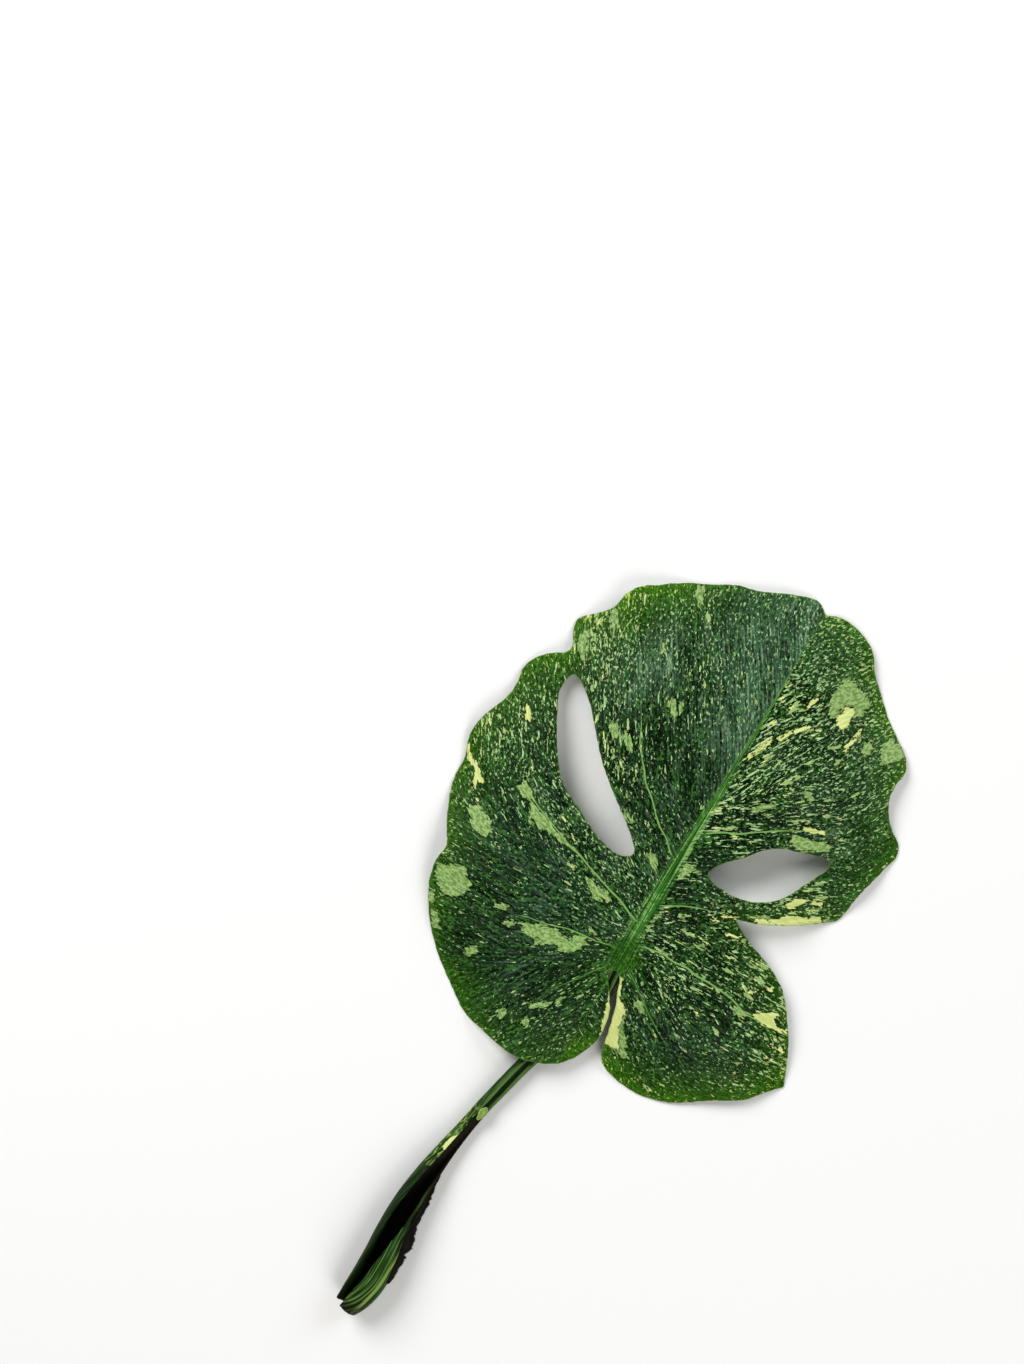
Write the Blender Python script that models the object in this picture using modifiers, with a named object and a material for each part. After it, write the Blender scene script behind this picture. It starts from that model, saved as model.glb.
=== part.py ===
"""A variegated split-leaf monstera leaf, as picked, lying on a table with its upper side up.

Three pieces: the blade with its holes and its midrib, the petiole (the leaf's stalk) with
the open channel of its sheath, and the withered wing that has come loose along the sheath.
Plan places are in millimetres from the sinus, where the stalk meets the blade, with +Y along
the midrib towards the tip. Heights are above the table. The finished pieces are moved so that
the origin is at the middle of the object's footprint, on the table.
"""
import math

import bmesh
import bpy
import numpy as np
from mathutils import Vector
from mathutils.geometry import delaunay_2d_cdt

MM = 0.001

# Blade
SHEET_THICKNESS = 0.8
RIB_DEPTH = 6.0           # thickness at the root of the midrib, sheet included
RIB_START = 4.0           # y where the midrib reaches its full depth
RIB_END = 178.0           # y where it has run out into the sheet
RIB_HALF_WIDTHS = ([0, 60, 120, 178], [3.2, 2.6, 1.3, 0.6])  # along y
MARGIN_STEP = 3.4         # spacing of the points along the margin
SHEET_STEP = 5.6          # spacing of the points inside the margin
VEIN_DIP = 1.5            # how far the veins lie below the tissue between them
VEIN_DIP_WIDTH = 8.0

# Petiole
PETIOLE_STATIONS = 46
SECTION_POINTS = 13       # along the outside, and as many again along the channel
JOINT_GAP = 0.3

# Withered wing
WING_THICKNESS = 0.6
WING_STATIONS = 34
WING_POINTS = 6           # across its width
WING_WAVE = 0.45

# The margin, clockwise from the right side of the sinus seen from above.
MARGIN = [
    (-1.5, 1.5), (2, -1), (3.6, -6), (6, -11), (8.5, -19), (10.5, -27), (12, -34), (14.5, -38.5),
    (20, -42), (30, -44), (41, -43.5), (51, -40.5), (60, -35), (69, -28.5), (80, -22), (88, -13.5),
    (92.5, -9), (94.3, -7), (92, -2), (87.5, 8), (80, 20), (71, 31), (60, 38), (49, 42), (40, 46),
    (35.5, 48.6), (34.6, 49.6), (37, 50.3), (44, 52.4), (53, 56.6), (63, 62), (72, 68), (77, 72),
    (78.6, 78), (79.3, 86), (81.5, 95), (84.5, 105), (86.2, 111), (84, 117), (78, 121), (73, 126),
    (69.3, 133), (68.6, 140), (69.8, 147), (66.5, 153.5), (58, 160), (50, 166), (42, 173.5),
    (35, 180), (30, 187), (24, 191.5), (16, 194.4), (8.5, 195), (3.5, 193.2), (1.3, 192.4),
    (-0.6, 194), (-3.5, 196), (-8, 196), (-20, 191.5), (-31, 186.5), (-41, 184), (-50, 179),
    (-62, 173), (-73, 165.5), (-80, 160.5), (-84, 154), (-85.5, 147), (-90, 141), (-95.5, 136),
    (-97.6, 132.5), (-96, 126.5), (-93.3, 121), (-94.5, 117.2), (-100, 113.6), (-105, 108.5),
    (-108, 101), (-107, 93), (-108, 85), (-111.5, 76.5), (-114, 67), (-113.4, 59), (-110.8, 51),
    (-110.2, 41), (-107.5, 31), (-102.5, 20.5), (-98.2, 13.5), (-97.8, 10.5), (-98.6, 4), (-96.6, -6),
    (-91, -16.5), (-84, -26), (-74, -35.5), (-62, -44.5), (-52, -51.2), (-40, -54), (-30, -55.7),
    (-21, -56.2), (-11, -53.6), (-2, -48.8), (4, -41), (7.2, -33), (7.6, -26), (6, -17.5),
    (3, -12), (0.4, -8), (-2.6, -4), (-4, -1),
]
# The holes through the blade, each clockwise seen from above.
HOLES = {
    "long_hole": [
        (-87, 109.2), (-84, 109.8), (-79, 107), (-71, 99.5), (-62, 89), (-54, 80.5), (-44, 72),
        (-34, 64.5), (-26.5, 58.5), (-22.4, 54), (-22.8, 50.8), (-27, 48.8), (-33, 49),
        (-42, 52), (-54, 58), (-64, 63), (-70, 68.5), (-77, 78.5), (-83, 89), (-87, 97), (-88.3, 103),
    ],
    "short_hole": [
        (13, 60.6), (12.7, 63.8), (16, 69), (23, 76), (30, 84), (37, 88.4), (46, 91.4), (54, 93.8),
        (59, 94), (60, 90.5), (57.3, 84.5), (53.5, 77), (49.5, 69.8), (43.5, 64), (36, 60),
        (28, 58.3), (19, 58.8),
    ],
}
MIDRIB = [(-2.4, 1.5), (-3, 20), (-3, 40), (-2.7, 60), (-2, 90), (-1.1, 120), (-0.3, 150), (0.4, 178)]
# The side veins, from the midrib outwards: left side from tip to base, then the right side.
SIDE_VEINS = [
    [(-1, 104), (-10, 124), (-21, 146), (-30, 163), (-36, 181)],
    [(-3, 58), (-15, 67), (-27, 78), (-38, 88), (-46, 101), (-55, 118), (-64, 137), (-72, 158)],
    [(-4, 26), (-20, 31.5), (-35, 36.5), (-50, 41.5), (-62, 46), (-73, 50), (-84, 58), (-98, 78)],
    [(-5, 11), (-20, 9), (-35, 6), (-50, 2), (-62, -1), (-76, -2), (-90, -2)],
    [(-5, 3), (-12, -6), (-20, -17), (-27, -30), (-32, -43)],
    [(0, 108), (6, 121), (14, 135), (24, 150), (36, 163)],
    [(0, 75.5), (10, 82), (20, 88), (30, 94), (40, 99.5), (50, 105), (60, 114), (70, 128)],
    [(0, 37.5), (10, 42.5), (20, 46.5), (30, 49.3)],
    [(1, 17), (12, 19), (25, 19), (38, 18.5), (50, 16.5), (60, 14.7), (72, 14), (84, 10)],
    [(1, 6), (10, 1), (22, -9), (38, -18), (56, -22), (72, -19)],
]
# Heights of the upper side above the table: along the midrib, then the left and the right half.
HEIGHTS = [
    (-2, 3, 15.5), (-3, 40, 19), (-2, 80, 21), (-1, 120, 19), (0, 160, 11.5), (1, 192, 0.8),
    (-28, 125, 19.5), (-48, 150, 12.5), (-30, 186, 3.5), (-8, 196, 2), (-52, 178, 0.8),
    (-84, 154, 6), (-97, 132, 0.8), (-94, 118, 4.5), (-62, 112, 15), (-86, 113, 6.5),
    (-88, 100, 7), (-56, 82, 16.5), (-23, 52, 19), (-62, 45, 17), (-92, 68, 10.5),
    (-107, 98, 2.2), (-114, 64, 4), (-110, 45, 0.8), (-104, 24, 5), (-98, 8, 8.5),
    (-60, 8, 16), (-80, -8, 10), (-95, -10, 4), (-80, -30, 0.8), (-53, -50.5, 0.8),
    (-42, -28, 10.5), (-20, -56, 10.2), (-18, -32, 13.8), (2, -46, 6.8), (7.6, -27, 8.5),
    (2, -11, 13.6), (-4, -4, 15),
    (28, 20, 17), (60, 14, 12.5), (94, -7, 0.8), (80, 20, 6), (60, 38, 8.5), (35, 49, 13.5),
    (53, 57, 11), (9, -12, 12.8), (12, -34, 5), (30, -44, 0.8), (44, -18, 12.5), (61, -34, 3),
    (80, -21, 5), (77, 72, 0.8), (80, 90, 5), (86, 112, 0.8), (69, 139, 6), (68, 151, 3.5),
    (50, 166, 0.8), (30, 187, 3.5), (10, 195, 1.6), (30, 138, 16.5), (52, 112, 12.5),
    (24, 104, 19), (60, 92, 8.5), (13, 62, 18.5),
]

# The stalk: place of the middle of the section (x, y), half its width, how far the channel faces
# to the left of straight up, and how far round the outside its rims stand, both in degrees.
STALK = [
    (-1.8, 1.0, 3.6, 0, 62), (-1.3, -6, 3.6, 0, 62), (-1.6, -13, 3.6, 0, 62), (-3.6, -22, 3.6, -2, 62),
    (-7.4, -34, 3.6, -6, 62), (-11.4, -46, 3.6, -10, 62), (-15.6, -58, 3.6, -14, 62),
    (-19, -71, 3.6, -18, 62), (-22.2, -84, 3.5, -26, 58), (-25, -98, 3.7, -32, 50),
    (-27.6, -112, 4.6, -32, 46), (-29.6, -126, 5.7, -22, 46), (-30.6, -140, 6.7, -8, 50),
    (-30.2, -154, 7.6, 14, 60), (-29, -168, 8.3, 34, 66), (-28.8, -180, 8.5, 46, 68),
    (-30, -189, 7.6, 50, 68), (-31.4, -195, 6.2, 50, 68),
]
STALK_TOP = 10.3          # height of the stalk's middle where it meets the blade
STALK_END_LEAN = 0.42     # how far its end leans forward under the midrib, for its height
STALK_DOWN_AT = -48.0     # y from which the stalk lies on the table
SHEATH_STARTS_AT = -80.0  # y where the channel opens
SHEATH_OPEN_AT = -132.0   # y from which it is fully open
GROOVE_DEPTH = 0.7        # of the closed part's groove
CHANNEL_FLOOR = 3.0       # thickness under the open channel

# The withered wing, along the right side of the sheath: y, the angle where it starts, the angle of
# its free edge, both above the horizontal, and how far the free edge stands off.
WING = [
    (-121, 22, 14, 0.0), (-128, 24, 2, 0.7), (-136, 32, -10, 1.6), (-143, 36, -15, 2.5),
    (-153, 36, -17, 3.0), (-162, 34, -14, 2.6), (-170, 30, -8, 1.4), (-176, 26, 0, 0.3),
]


def clear_scene():
    for obj in list(bpy.data.objects):
        bpy.data.objects.remove(obj, do_unlink=True)


def smooth_closed(points, step):
    """Points every `step` along a closed Catmull-Rom curve through the given points."""
    knots = np.array(points, float)
    fine = []
    for a, b, c, d in zip(np.roll(knots, 1, 0), knots, np.roll(knots, -1, 0), np.roll(knots, -2, 0)):
        for t in np.linspace(0, 1, 12, endpoint=False):
            fine.append(0.5 * (2 * b + (c - a) * t + (2 * a - 5 * b + 4 * c - d) * t * t
                               + (3 * b - a - 3 * c + d) * t ** 3))
    fine = np.array(fine + fine[:1])
    along = np.concatenate([[0], np.cumsum(np.linalg.norm(np.diff(fine, axis=0), axis=1))])
    wanted = np.linspace(0, along[-1], round(along[-1] / step), endpoint=False)
    return np.column_stack([np.interp(wanted, along, fine[:, i]) for i in (0, 1)])


def smooth_rows(rows, keys):
    """The rows of a table, smoothly interpolated where minus the first column has the given values."""
    table = np.array(rows, float)
    at = -table[:, 0]
    keys = np.asarray(keys, float)
    slopes = np.gradient(table, at, axis=0)
    i = np.clip(np.searchsorted(at, keys, side="right") - 1, 0, len(at) - 2)
    span = at[i + 1] - at[i]
    t = ((keys - at[i]) / span)[:, None]
    span = span[:, None]
    return ((2 * t ** 3 - 3 * t ** 2 + 1) * table[i] + (t ** 3 - 2 * t ** 2 + t) * span * slopes[i]
            + (3 * t ** 2 - 2 * t ** 3) * table[i + 1] + (t ** 3 - t ** 2) * span * slopes[i + 1])


def distance_to_line(points, line):
    """Each point's distance to an open line of straight pieces."""
    line = np.array(line, float)
    best = np.full(len(points), np.inf)
    for a, b in zip(line[:-1], line[1:]):
        t = np.clip((points - a) @ (b - a) / ((b - a) @ (b - a)), 0, 1)
        best = np.minimum(best, np.linalg.norm(points - a - t[:, None] * (b - a), axis=1))
    return best


def inside(points, loop):
    """Which points lie within a closed loop."""
    result = np.zeros(len(points), bool)
    for (xa, ya), (xb, yb) in zip(loop, np.roll(loop, -1, 0)):
        crosses = (ya > points[:, 1]) != (yb > points[:, 1])
        if crosses.any():
            result ^= crosses & (points[:, 0] < xa + (points[:, 1] - ya) * (xb - xa) / (yb - ya))
    return result


def plate_kernel(a, b):
    """The thin plate spline's r^2 log r between two sets of plan points."""
    squared = ((a[:, None, :] - b[None, :, :]) ** 2).sum(2)
    return 0.5 * squared * np.log(np.maximum(squared, 1e-9))


def blade_height(points):
    """Height of the upper side: a thin plate through HEIGHTS, dipped along the veins, and never
    below the table."""
    known = np.array(HEIGHTS, float)
    places, wanted = known[:, :2], known[:, 2]
    flat = np.column_stack([np.ones(len(places)), places])
    system = np.block([[plate_kernel(places, places), flat], [flat.T, np.zeros((3, 3))]])
    weights = np.linalg.solve(system, np.concatenate([wanted, np.zeros(3)]))
    height = (plate_kernel(points, places) @ weights[:-3]
              + np.column_stack([np.ones(len(points)), points]) @ weights[-3:])
    nearest = np.min([distance_to_line(points, vein) for vein in [MIDRIB, *SIDE_VEINS]], axis=0)
    from_margin = distance_to_line(points, MARGIN + MARGIN[:1])
    height += (VEIN_DIP * (1 - np.exp(-(nearest / VEIN_DIP_WIDTH) ** 2) - 0.5)
               * (1 - np.exp(-(from_margin / 12) ** 2)))
    over = height - SHEET_THICKNESS
    return SHEET_THICKNESS + np.where(over > 6, over, 0.5 * np.log1p(np.exp(np.minimum(over, 6) / 0.5)))


def rib_half_width(y):
    return np.interp(y, *RIB_HALF_WIDTHS)


def blade_points():
    """The plan points of the blade: its loops, the rows along the midrib, and a grid between."""
    loops = [smooth_closed(MARGIN, MARGIN_STEP)]
    loops += [smooth_closed(hole, MARGIN_STEP) for hole in HOLES.values()]
    ys = np.arange(RIB_START, RIB_END - 2, 4.5)
    centre = np.interp(ys, [p[1] for p in MIDRIB], [p[0] for p in MIDRIB])
    half = rib_half_width(ys)
    rows = np.concatenate([np.column_stack([centre + side * half, ys]) for side in (-1, 0, 1)])
    low, high = loops[0].min(0), loops[0].max(0)
    grid = []
    for j, y in enumerate(np.arange(low[1], high[1], SHEET_STEP * math.sqrt(3) / 2)):
        for x in np.arange(low[0] + (j % 2) * SHEET_STEP / 2, high[0], SHEET_STEP):
            grid.append((x, y))
    grid = np.array(grid)
    keep = inside(grid, loops[0])
    for hole in loops[1:]:
        keep &= ~inside(grid, hole)
    for loop in loops:
        keep &= distance_to_line(grid, np.vstack([loop, loop[:1]])) > SHEET_STEP * 0.5
    across = np.abs(grid[:, 0] - np.interp(grid[:, 1], ys, centre))
    keep &= ~((across < rib_half_width(grid[:, 1]) + SHEET_STEP * 0.45) & (grid[:, 1] > 0)
              & (grid[:, 1] < RIB_END))
    return loops, rows, grid[keep]


def make_blade():
    """The sheet: its loops filled with even triangles, raised to its heights, then given its
    thickness downwards, which swells to the midrib."""
    loops, rows, grid = blade_points()
    points = np.concatenate([*loops, rows, grid])
    edges, start = [], 0
    for loop in loops:
        n = len(loop)
        edges += [(start + i, start + (i + 1) % n) for i in range(n)]
        start += n
    flat, _, triangles, *_ = delaunay_2d_cdt([Vector(p) for p in points], edges, [], 0, 1e-4)
    flat = np.array(flat)
    triangles = np.array(triangles)
    middles = flat[triangles].mean(1)
    keep = inside(middles, loops[0])
    for hole in loops[1:]:
        keep &= ~inside(middles, hole)
    heights = blade_height(flat)
    mesh = bpy.data.meshes.new("leaf_blade")
    places = np.column_stack([flat, heights]) * MM
    mesh.from_pydata(places.tolist(), [], triangles[keep].tolist())
    fill = bmesh.new()
    fill.from_mesh(mesh)
    bmesh.ops.delete(fill, geom=[v for v in fill.verts if not v.link_faces], context="VERTS")
    for face in fill.faces:
        if face.normal.z < 0:
            face.normal_flip()
    fill.to_mesh(mesh)
    fill.free()
    blade = bpy.data.objects.new("leaf_blade", mesh)
    rib = blade.vertex_groups.new(name="rib")
    for vertex in mesh.vertices:
        x, y = vertex.co.x / MM, vertex.co.y / MM
        across = abs(x - np.interp(y, [p[1] for p in MIDRIB], [p[0] for p in MIDRIB])) / rib_half_width(y)
        along = max(0.0, (RIB_END - y) / (RIB_END - RIB_START)) ** 1.2 if y > RIB_START - 1 else 0.0
        rib.add([vertex.index], max(0.0, 1 - across ** 2) * along if across < 1 else 0.0, "REPLACE")
    solid = blade.modifiers.new("thickness", "SOLIDIFY")
    solid.thickness = RIB_DEPTH * MM
    solid.offset = -1
    solid.vertex_group = "rib"
    solid.thickness_vertex_group = SHEET_THICKNESS / RIB_DEPTH
    return blade


def stalk_sections(ys):
    """For each y: the section's middle (x, y, z), half its width, its turn, its rims' angle, and
    how open its channel is, from 0 to 1."""
    rows = smooth_rows([(y, x, half, turn, rim) for x, y, half, turn, rim in STALK], -np.asarray(ys))
    lift = np.clip((np.asarray(ys) - STALK_DOWN_AT) / -STALK_DOWN_AT, 0, 1) ** 1.4
    opened = np.clip((SHEATH_STARTS_AT - np.asarray(ys)) / (SHEATH_STARTS_AT - SHEATH_OPEN_AT), 0, 1)
    opened = opened * opened * (3 - 2 * opened)
    return [
        (Vector((x, y, half + (STALK_TOP - half) * up)), half, math.radians(turn), math.radians(rim), gap)
        for y, (_, x, half, turn, rim), up, gap in zip(ys, rows, lift, opened)
    ]


def section_ring(half, rim, opened):
    """One section in its own plane: the outside from the left rim round to the right rim, then
    back along the groove or channel."""
    depth = GROOVE_DEPTH + (half * (1 + math.sin(rim)) - CHANNEL_FLOOR - GROOVE_DEPTH) * opened
    ring = []
    for i in range(SECTION_POINTS):
        angle = math.pi - rim + (math.pi + 2 * rim) * i / (SECTION_POINTS - 1)
        ring.append((half * math.cos(angle), half * math.sin(angle)))
    reach = half * math.cos(rim)
    for i in range(1, SECTION_POINTS):
        share = i / SECTION_POINTS
        across = math.cos(math.pi * share)
        drop = math.sqrt(math.sin(math.pi * share)) if opened > 0 else math.sin(math.pi * share)
        ring.append((reach * across, half * math.sin(rim) - depth * drop))
    return ring


def stalk_frame(places, i):
    """The directions to the right and up, square to the stalk's run, at one of its stations."""
    run = (places[min(i + 1, len(places) - 1)] - places[max(i - 1, 0)]).normalized()
    right = run.cross(Vector((0, 0, 1))).normalized() * -1
    return right, right.cross(run).normalized() * (1 if right.cross(run).z > 0 else -1)


def lay_ring(place, right, up, turn, ring):
    """A section's points in space, with its channel turned to the left."""
    c, s = math.cos(turn), math.sin(turn)
    return [place + right * (u * c - v * s) + up * (u * s + v * c) for u, v in ring]


def make_petiole():
    """A loft through the stalk's sections, from its top under the sinus to its pulled-off base."""
    ys = np.linspace(STALK[0][1] - JOINT_GAP, STALK[-1][1], PETIOLE_STATIONS)
    sections = stalk_sections(ys)
    places = [section[0] for section in sections]
    loft = bmesh.new()
    rings = []
    for i, (place, half, turn, rim, opened) in enumerate(sections):
        right, up = stalk_frame(places, i)
        points = lay_ring(place, right, up, turn, section_ring(half, rim, opened))
        if i == 0:
            top = max(p.z for p in points)
            points = [p + Vector((0, (top - p.z) * STALK_END_LEAN, 0)) for p in points]
        rings.append([loft.verts.new(p * MM) for p in points])
    for upper, lower in zip(rings[:-1], rings[1:]):
        for k in range(len(upper)):
            n = (k + 1) % len(upper)
            loft.faces.new((upper[k], upper[n], lower[n], lower[k]))
    loft.faces.new(rings[0][::-1])
    loft.faces.new(rings[-1])
    bmesh.ops.triangulate(loft, faces=loft.faces[:])
    bmesh.ops.recalc_face_normals(loft, faces=loft.faces[:])
    mesh = bpy.data.meshes.new("petiole")
    loft.to_mesh(mesh)
    loft.free()
    return bpy.data.objects.new("petiole", mesh)


def make_wing():
    """A thin wavy strip along the sheath's right side, its free edge standing off."""
    ys = np.linspace(WING[0][0], WING[-1][0], WING_STATIONS)
    sections = stalk_sections(ys)
    places = [section[0] for section in sections]
    shape = smooth_rows(WING, -ys)
    strip = bmesh.new()
    rows = []
    for i, ((place, half, *_), (y, start, end, away)) in enumerate(zip(sections, shape)):
        right, up = stalk_frame(places, i)
        away = max(0.0, away + WING_WAVE * (1 + math.sin(y / 3.7)) * min(1.0, away))
        row = []
        for share in np.linspace(0, 1, WING_POINTS):
            angle = math.radians(start + (end - start) * share)
            reach = half + JOINT_GAP + WING_THICKNESS / 2 + 0.05 + away * share ** 2
            point = place + right * reach * math.cos(angle) + up * reach * math.sin(angle)
            row.append(strip.verts.new(point * MM))
        rows.append(row)
    for upper, lower in zip(rows[:-1], rows[1:]):
        for k in range(WING_POINTS - 1):
            strip.faces.new((upper[k], upper[k + 1], lower[k + 1], lower[k]))
    bmesh.ops.recalc_face_normals(strip, faces=strip.faces[:])
    mesh = bpy.data.meshes.new("withered_wing")
    strip.to_mesh(mesh)
    strip.free()
    wing = bpy.data.objects.new("withered_wing", mesh)
    solid = wing.modifiers.new("thickness", "SOLIDIFY")
    solid.thickness = WING_THICKNESS * MM
    solid.offset = 0
    return wing


def material(name, colour, roughness):
    made = bpy.data.materials.new(name)
    made.use_nodes = True
    shader = made.node_tree.nodes["Principled BSDF"]
    shader.inputs["Base Color"].default_value = (*colour, 1)
    shader.inputs["Roughness"].default_value = roughness
    shader.inputs["Metallic"].default_value = 0
    return made


def centre_on_table(objects):
    """Moves the meshes together, so that the origin is under the middle of their box."""
    graph = bpy.context.evaluated_depsgraph_get()
    corners = [obj.evaluated_get(graph).matrix_world @ v.co
               for obj in objects for v in obj.evaluated_get(graph).data.vertices]
    low = Vector([min(c[i] for c in corners) for i in range(3)])
    high = Vector([max(c[i] for c in corners) for i in range(3)])
    for obj in objects:
        obj.location = Vector((-(low.x + high.x) / 2, -(low.y + high.y) / 2, -low.z))


def main():
    clear_scene()
    collection = bpy.data.collections.new("monstera_leaf")
    bpy.context.scene.collection.children.link(collection)
    looks = {
        "leaf_blade": material("variegated_blade", (0.035, 0.105, 0.028), 0.42),
        "petiole": material("petiole_skin", (0.09, 0.2, 0.04), 0.4),
        "withered_wing": material("withered_tissue", (0.03, 0.016, 0.011), 0.7),
    }
    objects = [make_blade(), make_petiole(), make_wing()]
    for obj in objects:
        collection.objects.link(obj)
        obj.data.materials.append(looks[obj.name])
        obj.data.shade_smooth()
    bpy.context.view_layer.update()
    centre_on_table(objects)


main()
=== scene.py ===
# A variegated split-leaf monstera leaf, picked, lying face up: its looks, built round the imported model.
import bpy
import bmesh
import math
import numpy as np
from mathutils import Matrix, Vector, noise
from mathutils.geometry import delaunay_2d_cdt


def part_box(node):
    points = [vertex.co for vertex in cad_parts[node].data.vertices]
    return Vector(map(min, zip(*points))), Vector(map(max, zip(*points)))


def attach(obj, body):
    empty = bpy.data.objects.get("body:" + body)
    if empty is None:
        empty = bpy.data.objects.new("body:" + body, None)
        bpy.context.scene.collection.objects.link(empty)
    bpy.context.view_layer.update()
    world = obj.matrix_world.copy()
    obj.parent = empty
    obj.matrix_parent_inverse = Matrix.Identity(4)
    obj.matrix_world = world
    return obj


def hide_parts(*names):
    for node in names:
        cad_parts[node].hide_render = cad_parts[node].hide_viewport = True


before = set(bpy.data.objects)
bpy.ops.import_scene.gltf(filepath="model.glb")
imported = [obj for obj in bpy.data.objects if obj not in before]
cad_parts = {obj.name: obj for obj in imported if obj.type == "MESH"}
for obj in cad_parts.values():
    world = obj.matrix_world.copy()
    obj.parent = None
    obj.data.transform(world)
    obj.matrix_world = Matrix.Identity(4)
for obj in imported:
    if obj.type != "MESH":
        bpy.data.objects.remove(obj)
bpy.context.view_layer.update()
mm = 0.001
print("frame loaded")

# Plan places below are millimetres from the sinus, where the stalk meets the blade, +Y to the tip.
leaf = {
    "sheet": 0.55,              # thickness of the tissue
    "fillStep": 1.3,            # spacing of the mesh inside
    "marginStep": 1.0,
    "veinDip": 1.5,             # the tissue between two veins bulges this much
    "veinDipWidth": 8.0,
    "marginFlat": 12,           # it bulges less than this far from the margin
    "hubDip": 1.3,              # dimple where the veins meet
    "hubPlace": (-2.2, 4),
    "hubWidth": 6.5,
    "puckerHeight": 0.22,       # small waves between the veins
    "puckerClear": 5,
    "ridgeHeight": 1.35,        # of a vein below the sheet, in its half widths
    "grooveDepth": 0.3,         # on the upper side, along the veins
    "edgeThin": 0.45,           # how much thinner the sheet is at its edge
    "edgeThinWidth": 0.9,
    "tableGap": 0.25,           # under the lowest margin
    "tableEase": 0.5,
    "topGap": 0.15,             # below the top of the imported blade
    "veinPull": 4,              # how near a vein draws the tissue's direction to its own
    "tissueSpread": 10,         # how far each row of tissue below counts
    "frayWidth": 0.35,          # small unevenness of the margin
    "veinSway": 0.7,            # and of the side veins
}
margin = [
    (-1.5, 1.5), (2, -1), (3.6, -6), (6, -11), (8.5, -19), (10.5, -27), (12, -34), (14.5, -38.5),
    (20, -42), (30, -44), (41, -43.5), (51, -40.5), (60, -35), (69, -28.5), (80, -22), (88, -13.5),
    (92.5, -9), (94.3, -7), (92, -2), (87.5, 8), (80, 20), (71, 31), (60, 38), (49, 42), (40, 46),
    (35.5, 48.6), (34.6, 49.6), (37, 50.3), (44, 52.4), (53, 56.6), (63, 62), (72, 68), (77, 72),
    (78.6, 78), (79.3, 86), (81.5, 95), (84.5, 105), (86.2, 111), (84, 117), (78, 121), (73, 126),
    (69.3, 133), (68.6, 140), (69.8, 147), (66.5, 153.5), (58, 160), (50, 166), (42, 173.5),
    (35, 180), (30, 187), (24, 191.5), (16, 194.4), (8.5, 195), (3.5, 193.2), (1.3, 192.4),
    (-0.6, 194), (-3.5, 196), (-8, 196), (-20, 191.5), (-31, 186.5), (-41, 184), (-50, 179),
    (-62, 173), (-73, 165.5), (-80, 160.5), (-84, 154), (-85.5, 147), (-90, 141), (-95.5, 136),
    (-97.6, 132.5), (-96, 126.5), (-93.3, 121), (-94.5, 117.2), (-100, 113.6), (-105, 108.5),
    (-108, 101), (-107, 93), (-108, 85), (-111.5, 76.5), (-114, 67), (-113.4, 59), (-110.8, 51),
    (-110.2, 41), (-107.5, 31), (-102.5, 20.5), (-98.2, 13.5), (-97.8, 10.5), (-98.6, 4), (-96.6, -6),
    (-91, -16.5), (-84, -26), (-74, -35.5), (-62, -44.5), (-52, -51.2), (-40, -54), (-30, -55.7),
    (-21, -56.2), (-11, -53.6), (-2, -48.8), (4, -41), (7.2, -33), (7.6, -26), (6, -17.5),
    (3, -12), (0.4, -8), (-2.6, -4), (-4, -1),
]
holes = [
    [(-87, 109.2), (-84, 109.8), (-79, 107), (-71, 99.5), (-62, 89), (-54, 80.5), (-44, 72),
     (-34, 64.5), (-26.5, 58.5), (-22.4, 54), (-22.8, 50.8), (-27, 48.8), (-33, 49), (-42, 52),
     (-54, 58), (-64, 63), (-70, 68.5), (-77, 78.5), (-83, 89), (-87, 97), (-88.3, 103)],
    [(13, 60.6), (12.7, 63.8), (16, 69), (23, 76), (30, 84), (37, 88.4), (46, 91.4), (54, 93.8),
     (59, 94), (60, 90.5), (57.3, 84.5), (53.5, 77), (49.5, 69.8), (43.5, 64), (36, 60),
     (28, 58.3), (19, 58.8)],
]
# Each vein from its root outwards: (x, y), with its half width at the root.
midrib = (3.0, [(-2.4, 1.5), (-3, 20), (-3, 40), (-2.7, 60), (-2, 90), (-1.1, 120), (-0.3, 150), (0.4, 178),
                (0.9, 190)])
sideVeins = [
    (0.55, [(-1, 104), (-10, 124), (-21, 146), (-30, 163), (-36, 181)]),
    (1.0, [(-3, 58), (-15, 67), (-27, 78), (-38, 88), (-46, 101), (-55, 118), (-64, 137), (-72, 158)]),
    (1.25, [(-4, 26), (-20, 31.5), (-35, 36.5), (-50, 41.5), (-62, 46), (-73, 50), (-84, 58), (-98, 78)]),
    (1.2, [(-5, 11), (-20, 9), (-35, 6), (-50, 2), (-62, -1), (-76, -2), (-90, -2)]),
    (0.9, [(-5, 3), (-12, -6), (-20, -17), (-27, -30), (-32, -43)]),
    (0.55, [(0, 108), (6, 121), (14, 135), (24, 150), (36, 163)]),
    (0.9, [(0, 75.5), (10, 82), (20, 88), (30, 94), (40, 99.5), (50, 105), (60, 114), (70, 128)]),
    (1.1, [(0, 37.5), (10, 42.5), (20, 46.5), (30, 49.3)]),
    (1.15, [(1, 17), (12, 19), (25, 19), (38, 18.5), (50, 16.5), (60, 14.7), (72, 14), (84, 10)]),
    (0.9, [(1, 6), (10, 1), (22, -9), (38, -18), (56, -22), (72, -19)]),
]
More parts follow.
